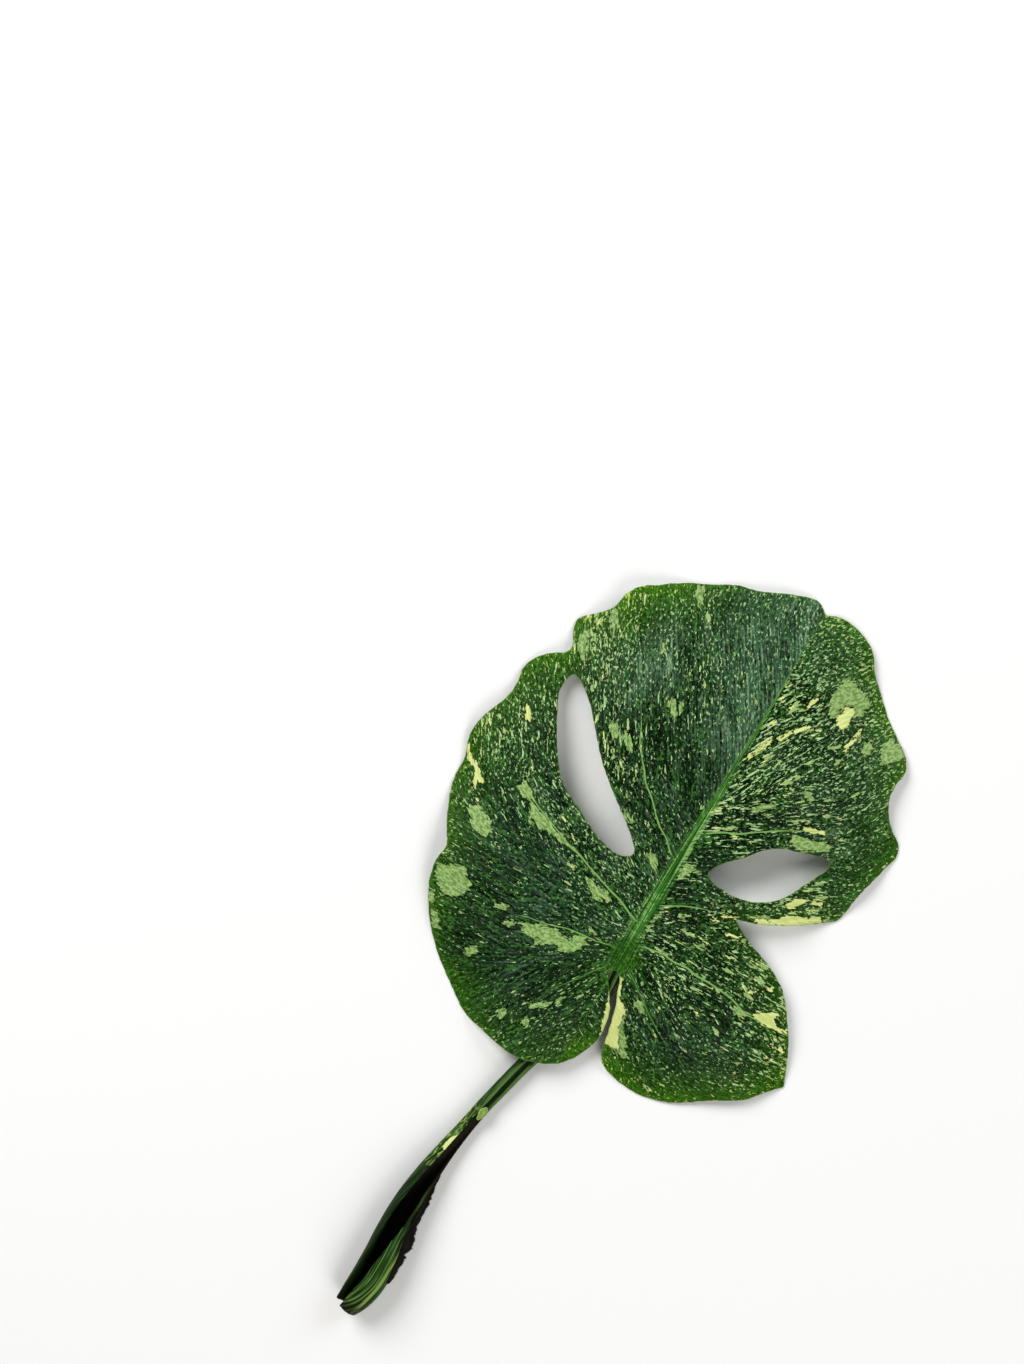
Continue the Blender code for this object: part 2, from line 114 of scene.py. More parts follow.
# The look of the midrib's band, (y) and (half width), and of each side vein: how far out it shows, as a share
# of its length, and the half widths of its pale line and of the green band round it.
midribBand = ([0, 15, 50, 75, 100, 130, 160, 185], [4.4, 4.2, 3.6, 3.0, 1.9, 0.9, 0.4, 0.1])
sideVeinLooks = [
    (0.0, 0.05, 0.05), (0.62, 0.32, 0.5), (0.8, 0.38, 0.8), (0.6, 0.26, 0.7), (0.6, 0.08, 0.9),
    (0.0, 0.05, 0.05), (0.7, 0.34, 0.5), (0.95, 0.24, 0.6), (0.97, 0.42, 0.5), (0.55, 0.08, 1.3),
]
# Heights of the upper side above the table: along the midrib, then the left and the right half.
heights = [
    (-2, 3, 15.5), (-3, 40, 19), (-2, 80, 21), (-1, 120, 19), (0, 160, 11.5), (1, 192, 0.8),
    (-28, 125, 19.5), (-48, 150, 12.5), (-30, 186, 3.5), (-8, 196, 2), (-52, 178, 0.8),
    (-84, 154, 6), (-97, 132, 0.8), (-94, 118, 4.5), (-62, 112, 15), (-86, 113, 6.5),
    (-88, 100, 7), (-56, 82, 16.5), (-23, 52, 19), (-62, 45, 17), (-92, 68, 10.5),
    (-107, 98, 2.2), (-114, 64, 4), (-110, 45, 0.8), (-104, 24, 5), (-98, 8, 8.5),
    (-60, 8, 16), (-80, -8, 10), (-95, -10, 4), (-80, -30, 0.8), (-53, -50.5, 0.8),
    (-42, -28, 10.5), (-20, -56, 10.2), (-18, -32, 13.8), (2, -46, 6.8), (7.6, -27, 8.5),
    (2, -11, 13.6), (-4, -4, 15),
    (28, 20, 17), (60, 14, 12.5), (94, -7, 0.8), (80, 20, 6), (60, 38, 8.5), (35, 49, 13.5),
    (53, 57, 11), (9, -12, 12.8), (12, -34, 5), (30, -44, 0.8), (44, -18, 12.5), (61, -34, 3),
    (80, -21, 5), (77, 72, 0.8), (80, 90, 5), (86, 112, 0.8), (69, 139, 6), (68, 151, 3.5),
    (50, 166, 0.8), (30, 187, 3.5), (10, 195, 1.6), (30, 138, 16.5), (52, 112, 12.5),
    (24, 104, 19), (60, 92, 8.5), (13, 62, 18.5),
]
# How the tissue varies: (x, y), then from 0 to 1 how many specks, how many streaks, how grey (grey tissue
# mixed with a painted sheen), how yellow.
tissue = [
    (-18, 152, 0.45, 0.15, 0.95, 0.0), (-6, 128, 0.4, 0.15, 0.9, 0.0), (-28, 170, 0.5, 0.2, 0.7, 0.0),
    (-30, 145, 0.5, 0.5, 0.05, 0.0), (-44, 172, 0.6, 0.35, 0.2, 0.2), (-56, 128, 0.45, 0.2, 0.75, 0.0),
    (-60, 150, 0.5, 0.3, 0.5, 0.1), (-74, 152, 0.62, 0.4, 0.05, 0.9), (-62, 168, 0.6, 0.4, 0.2, 0.8),
    (-84, 132, 0.8, 0.75, 0.05, 0.5), (-72, 118, 0.6, 0.6, 0.15, 0.2), (-40, 118, 0.45, 0.45, 0.1, 0.0),
    (-28, 98, 0.2, 0.15, 0.1, 0.0), (-15, 88, 0.2, 0.1, 0.25, 0.0), (-44, 94, 0.45, 0.6, 0.1, 0.0),
    (-18, 70, 0.45, 0.3, 0.2, 0.0), (-100, 108, 0.4, 0.3, 0.05, 0.7), (-96, 92, 0.55, 0.5, 0.1, 0.3),
    (-92, 74, 0.5, 0.6, 0.15, 0.2), (-106, 70, 0.7, 0.6, 0.1, 0.4), (-62, 54, 0.65, 0.5, 0.2, 0.0),
    (-36, 43, 0.65, 0.4, 0.2, 0.0), (-106, 52, 0.7, 0.4, 0.2, 0.5), (-90, 42, 0.42, 0.42, 0.15, 0.1),
    (-68, 32, 0.25, 0.15, 0.25, 0.0), (-48, 18, 0.22, 0.15, 0.3, 0.0), (-84, 14, 0.45, 0.3, 0.3, 0.1),
    (-98, 24, 0.5, 0.25, 0.1, 0.5), (-70, -14, 0.2, 0.2, 0.2, 0.0), (-46, -20, 0.15, 0.1, 0.3, 0.0),
    (-88, -14, 0.5, 0.3, 0.1, 0.5), (-30, -44, 0.4, 0.3, 0.2, 0.2), (-56, -42, 0.15, 0.15, 0.1, 0.45),
    (-18, -18, 0.3, 0.35, 0.1, 0.1), (-6, -42, 0.5, 0.4, 0.2, 0.3), (-28, 20, 0.5, 0.25, 0.2, 0.0),
    (14, 178, 0.7, 0.3, 0.3, 0.3), (36, 168, 0.8, 0.6, 0.2, 0.4), (60, 152, 0.8, 0.5, 0.3, 0.5),
    (14, 150, 0.65, 0.75, 0.0, 0.1), (30, 138, 0.6, 0.7, 0.1, 0.0), (50, 136, 0.6, 0.5, 0.25, 0.1),
    (20, 120, 0.7, 0.8, 0.1, 0.0), (44, 116, 0.65, 0.7, 0.25, 0.0), (68, 112, 0.45, 0.35, 0.25, 0.2),
    (80, 106, 0.45, 0.35, 0.1, 0.5), (12, 96, 0.45, 0.8, 0.05, 0.0), (34, 98, 0.4, 0.45, 0.1, 0.0),
    (66, 92, 0.35, 0.3, 0.2, 0.2), (62, 72, 0.65, 0.7, 0.1, 0.3), (30, 53, 0.6, 0.5, 0.1, 0.1),
    (12, 50, 0.15, 0.2, 0.1, 0.0), (12, 30, 0.45, 0.6, 0.1, 0.0), (36, 32, 0.45, 0.6, 0.05, 0.1),
    (62, 28, 0.5, 0.7, 0.05, 0.2), (80, 10, 0.55, 0.6, 0.05, 0.3), (22, 8, 0.75, 0.6, 0.1, 0.0),
    (44, 2, 0.35, 0.45, 0.15, 0.0), (66, 0, 0.45, 0.5, 0.2, 0.1), (38, -16, 0.15, 0.1, 0.35, 0.0),
    (20, -14, 0.4, 0.35, 0.15, 0.0), (84, -10, 0.5, 0.5, 0.0, 0.7), (62, -26, 0.35, 0.3, 0.1, 0.5),
    (36, -36, 0.35, 0.3, 0.1, 0.2), (24, -40, 0.5, 0.2, 0.0, 0.9), (48, -40, 0.5, 0.2, 0.0, 0.9),
]
# Patches without pigment, as outlines: grey green first, then cream.
greenPatches = [
    [(-58, 175), (-54, 176), (-51, 170), (-50, 163), (-53, 168), (-56, 170)],
    [(-93, 130), (-90, 131), (-88, 126), (-85, 118), (-88, 119), (-92, 124)],
    [(-86, 146), (-83, 146), (-80, 140), (-79, 134), (-82, 137), (-85, 141)],
    [(-61, 100), (-58, 100), (-54, 95), (-56, 93), (-60, 97)],
    [(-53, 99), (-50, 98), (-46, 93), (-48, 91), (-52, 95)],
    [(-50, 84), (-48, 84), (-46, 81), (-49, 80)],
    [(-43, 122), (-40, 123), (-37, 117), (-38, 115), (-42, 118)],
    [(-39, 124), (-37, 124), (-34, 118), (-36, 117)],
    [(-84, 53), (-81, 57), (-75, 52), (-70, 48.5), (-62, 46), (-52, 42.2), (-46, 40.3), (-53, 40.6),
     (-61, 41.6), (-66, 40.6), (-72, 43.4), (-74, 50), (-80, 50)],
    [(-45, 38.2), (-36, 35), (-30, 35.2), (-36, 36.8), (-44, 39)],
    [(-36, 32.4), (-31, 32), (-25, 31), (-19.5, 29.6), (-21, 27), (-28, 26), (-31, 29)],
    [(-98, 33), (-93, 36), (-88, 33), (-83, 28.5), (-84, 24.5), (-92, 25.5)],
    [(-97, 3), (-92, 5.5), (-86, 8.5), (-83, 5.5), (-78.5, 3), (-79.5, -3), (-84, -6.5), (-88, -8.5),
     (-92, -5.5), (-96, -1)],
    [(-95, -9), (-92, -9), (-90, -14), (-92, -15)], [(-89, -18), (-86, -17), (-81, -23), (-84, -24)],
    [(-62, -20), (-66, -25), (-64, -28.5), (-60.5, -24)],
    [(-22, 8.5), (-19.5, 5), (-22, 1), (-27, -3.5), (-32, -1.5), (-38, -5.5), (-41.5, -9), (-39, -3),
     (-47, -4.5), (-51, -1), (-44, 2.4), (-35, 4.6), (-28, 3.4), (-26, 7.5)],
    [(-56, -3), (-52, -2), (-53, -5), (-58, -5.5)], [(-63, 2), (-59, 2.5), (-60, 0.2), (-66, 0)],
    [(-23, 12.5), (-15, 9.6), (-16, 11.4), (-22, 13.6)],
    [(-17.5, 58), (-12, 56.5), (-8.5, 52), (-12, 51.5), (-16.5, 55.5)],
    [(-37, 67.5), (-31, 66.5), (-28, 64.6), (-33, 63.6)],
    [(-22, -26), (-20, -27), (-26, -33), (-28, -32)], [(-18, -19), (-16, -20), (-16.5, -26), (-18, -25)],
    [(-38, -40), (-35, -41), (-36, -45), (-39, -44)], [(-27, -37), (-24, -38), (-24, -42), (-27, -41)],
    [(24, 172), (22.4, 164), (21.6, 161), (23, 155), (26, 151), (29, 153), (28, 156), (31, 161),
     (34, 161), (35, 156), (38.5, 160), (40.5, 167), (36, 169.5), (30, 171.5)],
    [(57, 158), (62, 157.5), (65.4, 154), (62, 148), (57, 144), (55.5, 150), (53, 153)],
    [(46, 150), (50, 151), (51, 146), (48, 144), (45, 146)],
    [(32, 118), (38, 115.5), (36, 113), (31, 115)], [(22, 105), (24, 103), (16, 96), (13, 96)],
    [(37.5, 96), (44, 98.4), (52, 100.4), (57, 100.4), (54, 96), (47, 92.6), (42, 91.4), (38, 93)],
    [(-0.6, 17), (0.8, 17.5), (3.4, 36), (1.8, 38), (1.0, 31)],
    [(1, 61.5), (8.5, 60.8), (5.4, 58), (2.2, 52), (0.2, 50)],
    [(13, -4.6), (16.5, -4), (19.5, -8), (18, -10), (14, -8.4)],
    [(12, -11), (14.4, -19), (19, -25), (24.6, -31.6), (20, -32), (14, -31), (12, -29), (11, -20)],
    [(53, 15.2), (60.5, 14.6), (60, 10), (55, 12.2)], [(74, 66.6), (77, 69), (74, 71.6), (70, 69.4)],
    [(41, 52), (48, 55), (50, 58.5), (44, 57)],
    [(10, 39), (16, 41), (15, 38.5), (10, 37)], [(22, 30), (27, 32), (27, 29.5), (23, 28.5)],
]
creamPatches = [
    [(-98.5, 87), (-95.5, 86), (-93, 81), (-95.5, 81)],
    [(-112.6, 57.6), (-108.6, 54), (-104.3, 51.8), (-101, 49), (-96.8, 46), (-98, 45.4), (-100.6, 46),
     (-99, 40.6), (-100.8, 41), (-102.4, 45), (-103, 48), (-105.4, 49.6), (-108.8, 51.4)],
    [(31, 160), (34.6, 161), (35.2, 156), (34, 150), (31, 149.5), (28.2, 153.5), (30, 156)],
    [(16, 158), (17, 157), (15, 150), (13.4, 150)], [(19, 144), (20.5, 143), (15.5, 137), (13.5, 137.5)],
    [(12.5, 137), (13.5, 136), (10, 129.5), (8.6, 130)], [(6.5, 129), (7.4, 127), (2, 116.5), (0.8, 117)],
    [(41, 155), (42.4, 154), (39.4, 141), (37.6, 142)], [(40, 102), (50, 105), (50, 103.4), (41, 100.6)],
    [(51, 66.4), (54, 71.6), (60.5, 74), (56.6, 68.4), (53, 65)],
    [(62, 75.6), (67.4, 76.6), (66, 74), (61, 73)],
    [(40, 50.8), (48, 53.6), (58, 58.8), (66, 63.6), (71.5, 67.6), (69.4, 69.6), (62, 65.4), (55, 63),
     (50, 58), (44, 55)],
    [(24, 43.8), (28.6, 46.6), (28, 45), (24.4, 42.6)], [(33, 41.8), (41, 44.6), (41, 43.2), (34, 40.6)],
    [(27, 48.6), (35, 50.4), (34.4, 48.8), (28, 47)],
    [(63.6, 15.6), (68, 18.4), (71, 20.6), (74.4, 21.6), (73.4, 17.4), (77, 15.6), (81, 16.6), (83.4, 19),
     (82.4, 15.6), (79.6, 14), (70, 13.6), (63, 14.6)],
    [(78, 8.6), (81.4, 7.4), (80.6, 6.2), (77.6, 7.2)], [(83, 8.6), (86.4, 6.6), (85, 5.4), (82.4, 7)],
    [(69, -11.4), (71.4, -11.6), (71, -13), (69, -13)],
    [(1.6, 0.8), (-1, -4), (2, -12), (5, -22), (8.6, -31.4), (13.6, -31), (18.6, -30.6), (16, -26),
     (12.6, -20), (11.6, -12), (9.6, -10.8), (6.4, -9.2), (4.8, -4.6), (3.4, -1.6)],
    [(56, 24), (60, 26), (59.4, 24.2), (56.4, 22.8)], [(64, 30), (67, 31), (66, 28.6), (63.6, 28.4)],
]


def closedCurve(points, step):
    # even points along a closed Catmull-Rom curve
    knots = np.array(points, float)
    fine = []
    for a, b, c, d in zip(np.roll(knots, 1, 0), knots, np.roll(knots, -1, 0), np.roll(knots, -2, 0)):
        for t in np.linspace(0, 1, 12, endpoint=False):
            fine.append(0.5 * (2 * b + (c - a) * t + (2 * a - 5 * b + 4 * c - d) * t * t
                               + (3 * b - a - 3 * c + d) * t ** 3))
    fine = np.array(fine + fine[:1])
    return alongLine(fine, round(lineLength(fine) / step))[:-1]


def lineLength(line):
    return np.linalg.norm(np.diff(line, axis=0), axis=1).sum()


def alongLine(line, count):
    # count + 1 even points along a line of straight pieces
    line = np.array(line, float)
    run = np.concatenate([[0], np.cumsum(np.linalg.norm(np.diff(line, axis=0), axis=1))])
    wanted = np.linspace(0, run[-1], count + 1)
    return np.column_stack([np.interp(wanted, run, line[:, i]) for i in range(line.shape[1])])


def openCurve(points, step):
    # even points along an open, rounded line
    line = np.array(points, float)
    for _ in range(4):
        middle = np.vstack([line[:1], (line[:-1] * 0.75 + line[1:] * 0.25), line[-1:]])
        other = line[:-1] * 0.25 + line[1:] * 0.75
        line = np.vstack([middle[:1], np.stack([middle[1:-1], other], 1).reshape(-1, 2), middle[-1:]])
    return alongLine(line, max(2, round(lineLength(line) / step)))


def nearest(points, line):
    # to an open line: distance, share of the way along, and direction there
    best = np.full(len(points), np.inf)
    share = np.zeros(len(points))
    heading = np.zeros((len(points), 2))
    for i, (a, b) in enumerate(zip(line[:-1], line[1:])):
        span = b - a
        t = np.clip((points - a) @ span / (span @ span), 0, 1)
        gap = np.linalg.norm(points - a - t[:, None] * span, axis=1)
        closer = gap < best
        best[closer] = gap[closer]
        share[closer] = (i + t[closer]) / (len(line) - 1)
        heading[closer] = span / np.linalg.norm(span)
    return best, share, heading


def within(points, loop):
    loop = np.asarray(loop, float)
    result = np.zeros(len(points), bool)
    for (xa, ya), (xb, yb) in zip(loop, np.roll(loop, -1, 0)):
        if ya != yb:
            crosses = (ya > points[:, 1]) != (yb > points[:, 1])
            result ^= crosses & (points[:, 0] < xa + (points[:, 1] - ya) * (xb - xa) / (yb - ya))
    return result


def closed(loop):
    loop = np.asarray(loop, float)
    return np.vstack([loop, loop[:1]])


def plateHeight(points, known):
    # a thin plate through known heights
    known = np.array(known, float)

    def kernel(a, b):
        squared = ((a[:, None, :] - b[None, :, :]) ** 2).sum(2)
        return 0.5 * squared * np.log(np.maximum(squared, 1e-9))

    flat = np.column_stack([np.ones(len(known)), known[:, :2]])
    system = np.block([[kernel(known[:, :2], known[:, :2]), flat], [flat.T, np.zeros((3, 3))]])
    weights = np.linalg.solve(system, np.concatenate([known[:, 2], np.zeros(3)]))
    tilt = np.column_stack([np.ones(len(points)), points]) @ weights[-3:]
    return kernel(points, known[:, :2]) @ weights[:-3] + tilt


def waves(points, size, seed, angles=None):
    # smooth noise from about -1 to 1, size in mm; with angles it is drawn out along them
    if angles is None:
        return np.array([noise.noise(Vector((x / size, y / size, seed))) for x, y in points]) * 1.6
    length, width = size
    total, power = np.zeros(len(points)), np.zeros(len(points))
    for k, weight in enumerate(grainShares(angles)):
        turn = math.radians(30 * k)
        c, s = math.cos(turn), math.sin(turn)
        here = weight > 0
        u = (points[here, 0] * c + points[here, 1] * s) / length
        v = (points[here, 1] * c - points[here, 0] * s) / width
        cloud = np.array([noise.noise(Vector((a, b, seed + 9.7 * k))) for a, b in zip(u, v)])
        total[here] += weight[here] * cloud
        power += weight ** 2
    return total / np.sqrt(power) * 1.6


def grainShares(angles):
    # how much each of six directions, 30 degrees apart, counts for the tissue's own direction
    shares = []
    for k in range(6):
        off = np.abs((angles - math.radians(30 * k) + math.pi / 2) % math.pi - math.pi / 2)
        shares.append(np.maximum(0, 1 - off / math.radians(30)))
    return shares


def asMesh(name, points, faces, attributes=(), edges=()):
    mesh = bpy.data.meshes.new(name)
    mesh.from_pydata([tuple(p) for p in points], edges, [tuple(f) for f in faces])
    for key, values in dict(attributes).items():
        values = np.asarray(values, float)
        kind, field = ("FLOAT_VECTOR", "vector") if values.ndim == 2 else ("FLOAT", "value")
        mesh.attributes.new(key, kind, "POINT").data.foreach_set(field, values.ravel())
    mesh.polygons.foreach_set("use_smooth", [True] * len(mesh.polygons))
    piece = bpy.data.objects.new(name, mesh)
    bpy.context.scene.collection.objects.link(piece)
    return piece


def veinHalfWidth(rootWidth, share):
    return rootWidth * (1 - 0.86 * share)


def leafPlan():
    # the points of the plan: loops, rows along the veins, and an even fill
    loops = [closedCurve(loop, leaf["marginStep"]) for loop in [margin, *holes]]
    for loop in loops:
        wobble = waves(loop, 3.1, 4.2) + 0.5 * waves(loop, 1.3, 8.1)
        along = np.roll(loop, -1, 0) - np.roll(loop, 1, 0)
        along /= np.linalg.norm(along, axis=1)[:, None]
        loop += np.column_stack([-along[:, 1], along[:, 0]]) * wobble[:, None] * leaf["frayWidth"] * 0.5
    veins = [openCurve(line, 1.0) for _, line in [midrib, *sideVeins]]
    for line in veins[1:]:
        sway = waves(line, 9.0, 6.6) * np.minimum(1, np.arange(len(line)) / 12) * leaf["veinSway"]
        heading = np.gradient(line, axis=0)
        line += np.column_stack([-heading[:, 1], heading[:, 0]]) * sway[:, None]
    rows = []
    for i, line in enumerate(veins):
        offsets = (-2.1, -1.2, -0.5, 0, 0.5, 1.2, 2.1)
        if i == 0:
            offsets = (-3.2, *offsets, 3.2)
        heading = np.gradient(line, axis=0)
        heading /= np.linalg.norm(heading, axis=1)[:, None]
        for offset in offsets:
            row = line + np.column_stack([-heading[:, 1], heading[:, 0]]) * offset
            others = [nearest(row, other)[0] for j, other in enumerate(veins) if j != i]
            rows.append(row[np.min(others, axis=0) > (4.2 if i else 0.0)])
    rows = np.vstack(rows)
    low, high = loops[0].min(0), loops[0].max(0)
    step = leaf["fillStep"]
    fill = np.array([(x, y) for j, y in enumerate(np.arange(low[1], high[1], step * 0.866))
                     for x in np.arange(low[0] + (j % 2) * step / 2, high[0], step)])
    keep = np.ones(len(fill), bool)
    for i, line in enumerate(veins):
        keep &= nearest(fill, line)[0] > (3.2 if i == 0 else 2.1) + step * 0.55
    fill = fill[keep]
    points = np.vstack([rows, fill])
    keep = within(points, loops[0])
    for hole in loops[1:]:
        keep &= ~within(points, hole)
    for loop in loops:
        keep &= nearest(points, closed(loop))[0] > 0.62 * leaf["marginStep"]
    return loops, veins, points[keep]


def leafTriangles(loops, points):
    everything = np.vstack([*loops, points])
    edges, start = [], 0
    for loop in loops:
        edges += [(start + i, start + (i + 1) % len(loop)) for i in range(len(loop))]
        start += len(loop)
    flat, _, faces, *_ = delaunay_2d_cdt([Vector(p) for p in everything], edges, [], 0, 1e-4)
    flat, faces = np.array(flat), np.array(faces)
    middles = flat[faces].mean(1)
    keep = within(middles, loops[0])
    for hole in loops[1:]:
        keep &= ~within(middles, hole)
    faces = faces[keep]
    a, b, c = (flat[faces[:, i]] for i in range(3))
    turned = (b - a)[:, 0] * (c - a)[:, 1] - (b - a)[:, 1] * (c - a)[:, 0] < 0
    faces[turned] = faces[turned][:, ::-1]
    used = np.unique(faces)
    renumber = np.full(len(flat), -1)
    renumber[used] = np.arange(len(used))
    return flat[used], renumber[faces]


def blended(points, table, spread):
    # the table's values, weighted by nearness
    table = np.array(table, float)
    squared = ((points[:, None, :] - table[None, :, :2]) ** 2).sum(2)
    weights = np.exp(-squared / (2 * spread ** 2)) + 1e-9 / (1 + squared)
    return weights @ table[:, 2:] / weights.sum(1)[:, None]


def patchDepth(points, patches, most=4.0):
    # distance inside the nearest patch's outline, in mm, negative outside
    depth = np.full(len(points), -most)
    for patch in patches:
        patch = np.array(patch, float)
        near = ((points > patch.min(0) - most) & (points < patch.max(0) + most)).all(1)
        if near.any():
            gap = nearest(points[near], closed(patch))[0]
            depth[near] = np.maximum(depth[near], np.where(within(points[near], patch), gap, -gap))
    return np.clip(depth, -most, most)


def tissueAngle(found):
    # the tissue's direction follows the veins around it, the nearer the more
    weights = np.array([1 / (gap + leaf["veinPull"]) ** 3 for gap, _, _ in found])
    angles = 2 * np.array([np.arctan2(heading[:, 1], heading[:, 0]) for _, _, heading in found])
    return np.arctan2((weights * np.sin(angles)).sum(0), (weights * np.cos(angles)).sum(0)) / 2


def leafHeight(plan, angle, gap, outer):
    # the dome, with the tissue bulging between the veins, a dimple where they meet, and small waves
    height = plateHeight(plan, heights)
    bulge = 0.5 - np.exp(-(gap / leaf["veinDipWidth"]) ** 2)
    height += leaf["veinDip"] * bulge * (1 - np.exp(-(outer / leaf["marginFlat"]) ** 2))
    height -= leaf["hubDip"] * np.exp(-((plan - leaf["hubPlace"]) ** 2).sum(1) / leaf["hubWidth"] ** 2)
    pucker = waves(plan, (16, 5), 3.3, angle) + 0.5 * waves(plan, (8, 3), 6.1, angle)
    height += leaf["puckerHeight"] * pucker * (1 - np.exp(-(gap / leaf["puckerClear"]) ** 2))
    # it eases onto the table, and doesn't go through it
    lowest, ease = leaf["sheet"] + leaf["tableGap"], leaf["tableEase"]
    return lowest + ease * np.logaddexp(0, (height - lowest) / ease)


def leafMasks(plan, found, onRight, angle, edge, outer):
    # what the leaf's material reads at each point
    gaps = np.array([gap for gap, _, _ in found])
    alongVein = np.array([share for _, share, _ in found[1:]])
    tone = np.empty((len(plan), 4))
    # the tone, including the painted sheen in the grey, keeps to its own half
    for half in (False, True):      # each half keeps its own tissue, so it changes at once at the midrib
        here = onRight == half
        rows = [row for row in tissue if (row[0] > -3) == half]
        tone[here] = blended(plan[here], rows, leaf["tissueSpread"])
    drift, fineDrift = waves(plan, (40, 7), 11.5, angle), waves(plan, (18, 4), 15.5, angle)
    shares = np.array(grainShares(angle))
    shares /= np.sqrt((shares ** 2).sum(0))
    reach, lineWidth, bandWidth = np.array(sideVeinLooks).T
    fade = np.clip(2.2 - 2.2 * alongVein / np.maximum(reach, 0.01)[:, None], 0.02, 1)
    nearestVein = np.argmin(gaps[1:] / np.maximum(fade, 0.1), axis=0)
    pick = (nearestVein, np.arange(len(plan)))
    shown = fade[pick]
    acrossMidrib = np.where(onRight, 1, -1) * gaps[0] / np.interp(plan[:, 1], *midribBand)
    return {
        "specks": np.clip(tone[:, 0] + 0.16 * drift + 0.12 * fineDrift, 0, 1),
        "streaks": np.clip(tone[:, 1] + 0.2 * waves(plan, (25, 9), 21.5, angle), 0, 1),
        # grey tissue with a painted sheen in it
        "greyAndPaintedSheen": np.clip(tone[:, 2] * (1 + 0.5 * drift + 0.3 * fineDrift), 0, 1),
        "yellowness": np.clip(tone[:, 3] * np.exp(-outer / 16) * 1.3 + 0.25 * np.exp(-outer / 2.5), 0, 1),
        "greenPatch": patchDepth(plan, greenPatches),
        "creamPatch": patchDepth(plan, creamPatches),
        "midribAcross": np.clip(acrossMidrib, -30, 30),
        "veinGap": gaps[1:][pick],
        "veinLine": lineWidth[nearestVein] * (0.4 + 0.6 * shown) * np.minimum(1, shown * 3) + 0.01,
        "veinBand": bandWidth[nearestVein] * shown * np.clip(1.2 - alongVein[pick] * 1.6, 0.15, 1) + 0.01,
        "hub": np.exp(-((plan - (-2.4, 9)) ** 2 / (9.5 ** 2, 10.5 ** 2)).sum(1)),
        "edgeGap": edge,
        "grainA": shares[:3].T,
        "grainB": shares[3:].T,
    }


def makeLeaf():
    loops, veins, points = leafPlan()
    plan, faces = leafTriangles(loops, points)
    print("leaf plan:", len(plan), "points,", len(faces), "triangles a side")
    found = [nearest(plan, vein) for vein in veins]
    onRight = plan[:, 0] >= np.interp(plan[:, 1], veins[0][:, 1], veins[0][:, 0])
    angle = np.where(onRight, tissueAngle(found[6:]), tissueAngle(found[1:6]))
    edges = [nearest(plan, closed(loop))[0] for loop in loops]
    edge, outer = np.min(edges, axis=0), edges[0]
    height = leafHeight(plan, angle, np.min([gap for gap, _, _ in found], axis=0), outer)
    masks = leafMasks(plan, found, onRight, angle, edge, outer)

    # two sides, thinner near the edge, and the rim between them
    place = np.column_stack([plan, height])
    thinning = 1 - leaf["edgeThin"] * np.exp(-edge / leaf["edgeThinWidth"])
    both = np.vstack([place, place - (0, 0, leaf["sheet"]) * thinning[:, None]])
    ends = np.vstack([faces[:, [0, 1]], faces[:, [1, 2]], faces[:, [2, 0]]])
    _, index, times = np.unique(np.sort(ends, axis=1), axis=0, return_inverse=True, return_counts=True)
    rim = ends[times[index.ravel()] == 1]
    count = len(plan)
    walls = [(b, a, a + count) for a, b in rim] + [(b, a + count, b + count) for a, b in rim]
    allFaces = np.vstack([faces, faces[:, ::-1] + count, walls])
    doubled = {key: np.concatenate([value, value]) for key, value in masks.items()}
    doubled["underside"] = np.repeat([0.0, 1.0], count)

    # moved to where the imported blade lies
    low, high = (np.array(corner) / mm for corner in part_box("leaf_blade"))
    plain = closedCurve(margin, 0.5)
    middle = (low + high)[:2] / 2 - (plain.min(0) + plain.max(0)) / 2
    shift = Vector((*middle, high[2] - height.max() - leaf["topGap"]))
    return asMesh("leaf_blade_skin", (both + np.array(shift)) * mm, allFaces, doubled), veins, shift


def addNode(tree, kind, inputs=None, **settings):
    # a node with its settings, and its sockets linked or set; a node as a source stands for its first output
    node = tree.nodes.new(kind)
    for name, value in settings.items():
        setattr(node, name, value)
    for name, source in (inputs or {}).items():
        if isinstance(source, bpy.types.Node):
            source = next(socket for socket in source.outputs if socket.enabled)
        if isinstance(source, bpy.types.NodeSocket):
            tree.links.new(source, node.inputs[name])
        else:
            node.inputs[name].default_value = source
    return node


def newTree(name, inputs):
    # a Geometry Nodes tree and its named inputs
    tree = bpy.data.node_groups.new(name, "GeometryNodeTree")
    for title, kind in {"Geometry": "Geometry", **inputs, "Material": "Material"}.items():
        tree.interface.new_socket(title, in_out="INPUT", socket_type="NodeSocket" + kind)
    tree.interface.new_socket("Geometry", in_out="OUTPUT", socket_type="NodeSocketGeometry")
    return tree, addNode(tree, "NodeGroupInput").outputs


def applyTree(piece, guide, tree, given, result, name, values):
    # ends the tree, runs it on the piece, and keeps the result as a plain mesh
    real = addNode(tree, "GeometryNodeRealizeInstances", {0: result})
    dressed = addNode(tree, "GeometryNodeSetMaterial", {0: real, "Material": given["Material"]})
    addNode(tree, "NodeGroupOutput", {0: dressed})
    modifier = piece.modifiers.new(tree.name, "NODES")
    modifier.node_group = tree
    for item in tree.interface.items_tree:
        if item.in_out == "INPUT" and item.name in values:
            modifier[item.identifier] = values[item.name]
    bpy.context.view_layer.update()
    evaluated = piece.evaluated_get(bpy.context.evaluated_depsgraph_get())
    mesh = bpy.data.meshes.new_from_object(evaluated)
    mesh.name = name
    made = bpy.data.objects.new(name, mesh)
    bpy.context.scene.collection.objects.link(made)
    for spent in (piece, guide):
        bpy.data.objects.remove(spent, do_unlink=True)
    return made


